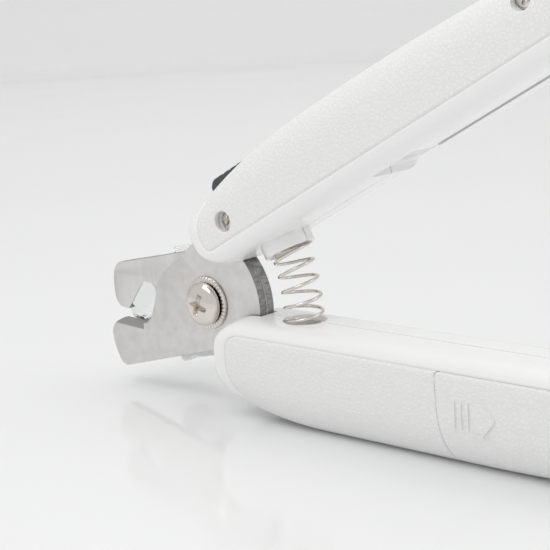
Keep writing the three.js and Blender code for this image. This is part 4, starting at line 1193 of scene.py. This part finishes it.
def shrink(points, by):
    mx, mz = (sum(p[i] for p in points) / len(points) for i in (0, 1))
    out = []
    for x, z, radius in points:
        scale = 1 - by * 1.25 / math.hypot(x - mx, z - mz)
        out.append((mx + (x - mx) * scale, mz + (z - mz) * scale, radius))
    return out


def loft(near_points, far_points, near, far):
    rings = [rounded(points, 10) for points in (near_points, far_points)]
    n = len(rings[0])
    verts = [(x, y, z) for ring, y in zip(rings, (near, far)) for x, z in ring]
    faces = [tuple(range(n)), tuple(range(2 * n - 1, n - 1, -1))]
    faces += [(i, i + n, (i + 1) % n + n, (i + 1) % n) for i in range(n)]
    return fix_normals(from_faces("loft", verts, faces))


def along_blades(start, end, low, high, near, far):
    c, s = math.cos(RAIL["tilt"]), math.sin(RAIL["tilt"])
    corners = [(start, low), (end, low), (end, high), (start, high)]
    return plate([(a * c - t * s, a * s + t * c) for a, t in corners], near, far)


def catcher():
    near, far, wall = CATCHER["near"], CATCHER["far"], CATCHER["wall"]
    outside = soften(loft(CATCHER_RIM, CATCHER_BACK, near, far), 0.3, 3, 50)
    inside = loft(shrink(CATCHER_RIM, wall), shrink(CATCHER_BACK, wall), near - 0.01, far - wall)
    t, half = RAIL["t"], RAIL["half"]
    way = along_blades(RAIL["start"], 0, t - half - 0.3, t + half + 0.3, near - 1, RAIL["far"] + 0.3)
    lug = soften(plate(rounded(CATCHER_LUG), near, near + CATCHER["lug_thick"]), 0.2, 2, 40)
    body = cut(join(cut(outside, inside), lug), way)
    finish_piece(smooth(body, 30), "clippings_catcher_cup", "catcher", CLEAR, ["clippings_catcher"])
    rail = along_blades(RAIL["start"], RAIL["end"], t - half, t + half, RAIL["near"] + 0.2, RAIL["far"])
    rail = cut(soften(rail, 0.15, 2, 40), bar((0, 0), 5.0, -9, 9))
    finish_piece(smooth(rail, 30), "catcher_rail_bar", "lower_handle", GLOSS_WHITE,
                 ["catcher_rail"])


def battery():
    """A small round cell: printed sleeve rolled over the ends, bare caps and a nub."""
    r, length, y = CELL["r"], CELL["length"], CELL["y"]
    x, z = place("lower", CELL["start"], CELL["v"])
    matrix = Matrix.Translation((x, y, z)) @ Matrix.Rotation(math.pi / 2, 4, "Y")
    end = length - 1
    sleeve = [(0, 0.05), (3.9, 0.05), (4.4, 0.0), (4.9, 0.06), (r, 0.4), (r, end - 0.4), (4.9, end - 0.05)]
    profile = [*sleeve, (4.3, end), (4.0, end - 0.15), (1.9, end - 0.1), (1.85, length - 0.15), (1.6, length),
               (0, length)]
    body = smooth(turned("cell", profile, matrix, 96), 40)
    slots = [1 if math.hypot(f.center.y - y, f.center.z - z) < 4.35 else 0 for f in body.data.polygons]
    finish_piece(body, "battery_cell", "lower_handle", (BATTERY, NICKEL), ["battery"])
    body.data.polygons.foreach_set("material_index", slots)


lock_slider()
nail_file()
light_button()
lamp()
catcher()
battery()


# ---- floor, light and camera ---------------------------------------------------------------------------
def backdrop():
    """A pale glossy floor that curves up far behind the object."""
    profile = [(-1.2, 0.0), (0.9, 0.0)]
    profile += [(0.9 + 0.5 * math.sin(a), 0.5 - 0.5 * math.cos(a)) for a in np.linspace(0.1, math.pi / 2, 16)]
    profile.append((1.4, 2.2))
    verts, faces = [], []
    for along, up in profile:
        for across in (-2.5, 2.5):
            verts.append(STAGE_TURN @ Vector((across, along, up)))
    for k in range(len(profile) - 1):
        faces.append((2 * k, 2 * k + 1, 2 * k + 3, 2 * k + 2))
    floor = from_faces("floor", verts, faces)
    floor.data.shade_smooth()
    s = Surface("floor_white", (0.86, 0.865, 0.87), 0.1, Specular_IOR_Level=0.5)
    s.roughness(s.noise(60.0, 3), 0.08, 0.13)
    s.tint(s.noise(90.0, 2), (0.855, 0.86, 0.865), (0.865, 0.87, 0.875))
    floor.data.materials.append(s.material)


def softbox(name, place_at, aim, size, power):
    light = bpy.data.lights.new(name, "AREA")
    light.shape = "RECTANGLE"
    light.size, light.size_y = size
    light.energy = power
    obj = bpy.data.objects.new(name, light)
    bpy.context.scene.collection.objects.link(obj)
    obj.location = STAGE_TURN @ Vector(place_at)
    way = STAGE_TURN @ Vector(aim) - obj.location
    obj.rotation_mode = "QUATERNION"
    obj.rotation_quaternion = way.to_track_quat("-Z", "Y")


# The stage faces the camera: its -Y points from the object toward the lens.
CAMERA_BACK = Vector((0.66556, -0.71603, 0.21062))
CAMERA_UP = Vector((-0.09952, 0.19454, 0.97586))
CAMERA_AT = Vector((213.14, -211.16, 69.10))
STAGE_TURN = Matrix.Rotation(math.atan2(CAMERA_BACK.x, -CAMERA_BACK.y), 4, "Z")

backdrop()
softbox("key", (-0.35, -0.25, 0.75), (0, 0, 0.03), (0.6, 0.5), 1.7)
softbox("fill", (0.75, -0.3, 0.45), (0, 0, 0.03), (0.5, 0.6), 0.6)
softbox("top", (0.1, 0.25, 0.95), (0, 0, 0.0), (0.9, 0.7), 1.6)
softbox("back_wash", (0.0, 0.55, 0.9), (0, 1.4, 0.45), (1.6, 0.4), 1.0)

world = bpy.data.worlds.new("studio")
world.use_nodes = True
world.node_tree.nodes["Background"].inputs["Color"].default_value = (1.0, 0.995, 0.985, 1)
world.node_tree.nodes["Background"].inputs["Strength"].default_value = 0.74
bpy.context.scene.world = world
bpy.context.scene.view_settings.view_transform = "Standard"
bpy.context.scene.view_settings.look = "None"
bpy.context.scene.view_settings.exposure = 0.0

camera_data = bpy.data.cameras.new("camera")
camera_data.lens = 100
camera_data.sensor_width = 36
camera = bpy.data.objects.new("camera", camera_data)
bpy.context.scene.collection.objects.link(camera)
back = CAMERA_BACK.normalized()
right = CAMERA_UP.cross(back).normalized()
up = back.cross(right)
turn = Matrix((right, up, back)).transposed().to_4x4()
camera.matrix_world = Matrix.Translation(PIVOT + CAMERA_AT * MM) @ turn
bpy.context.scene.camera = camera
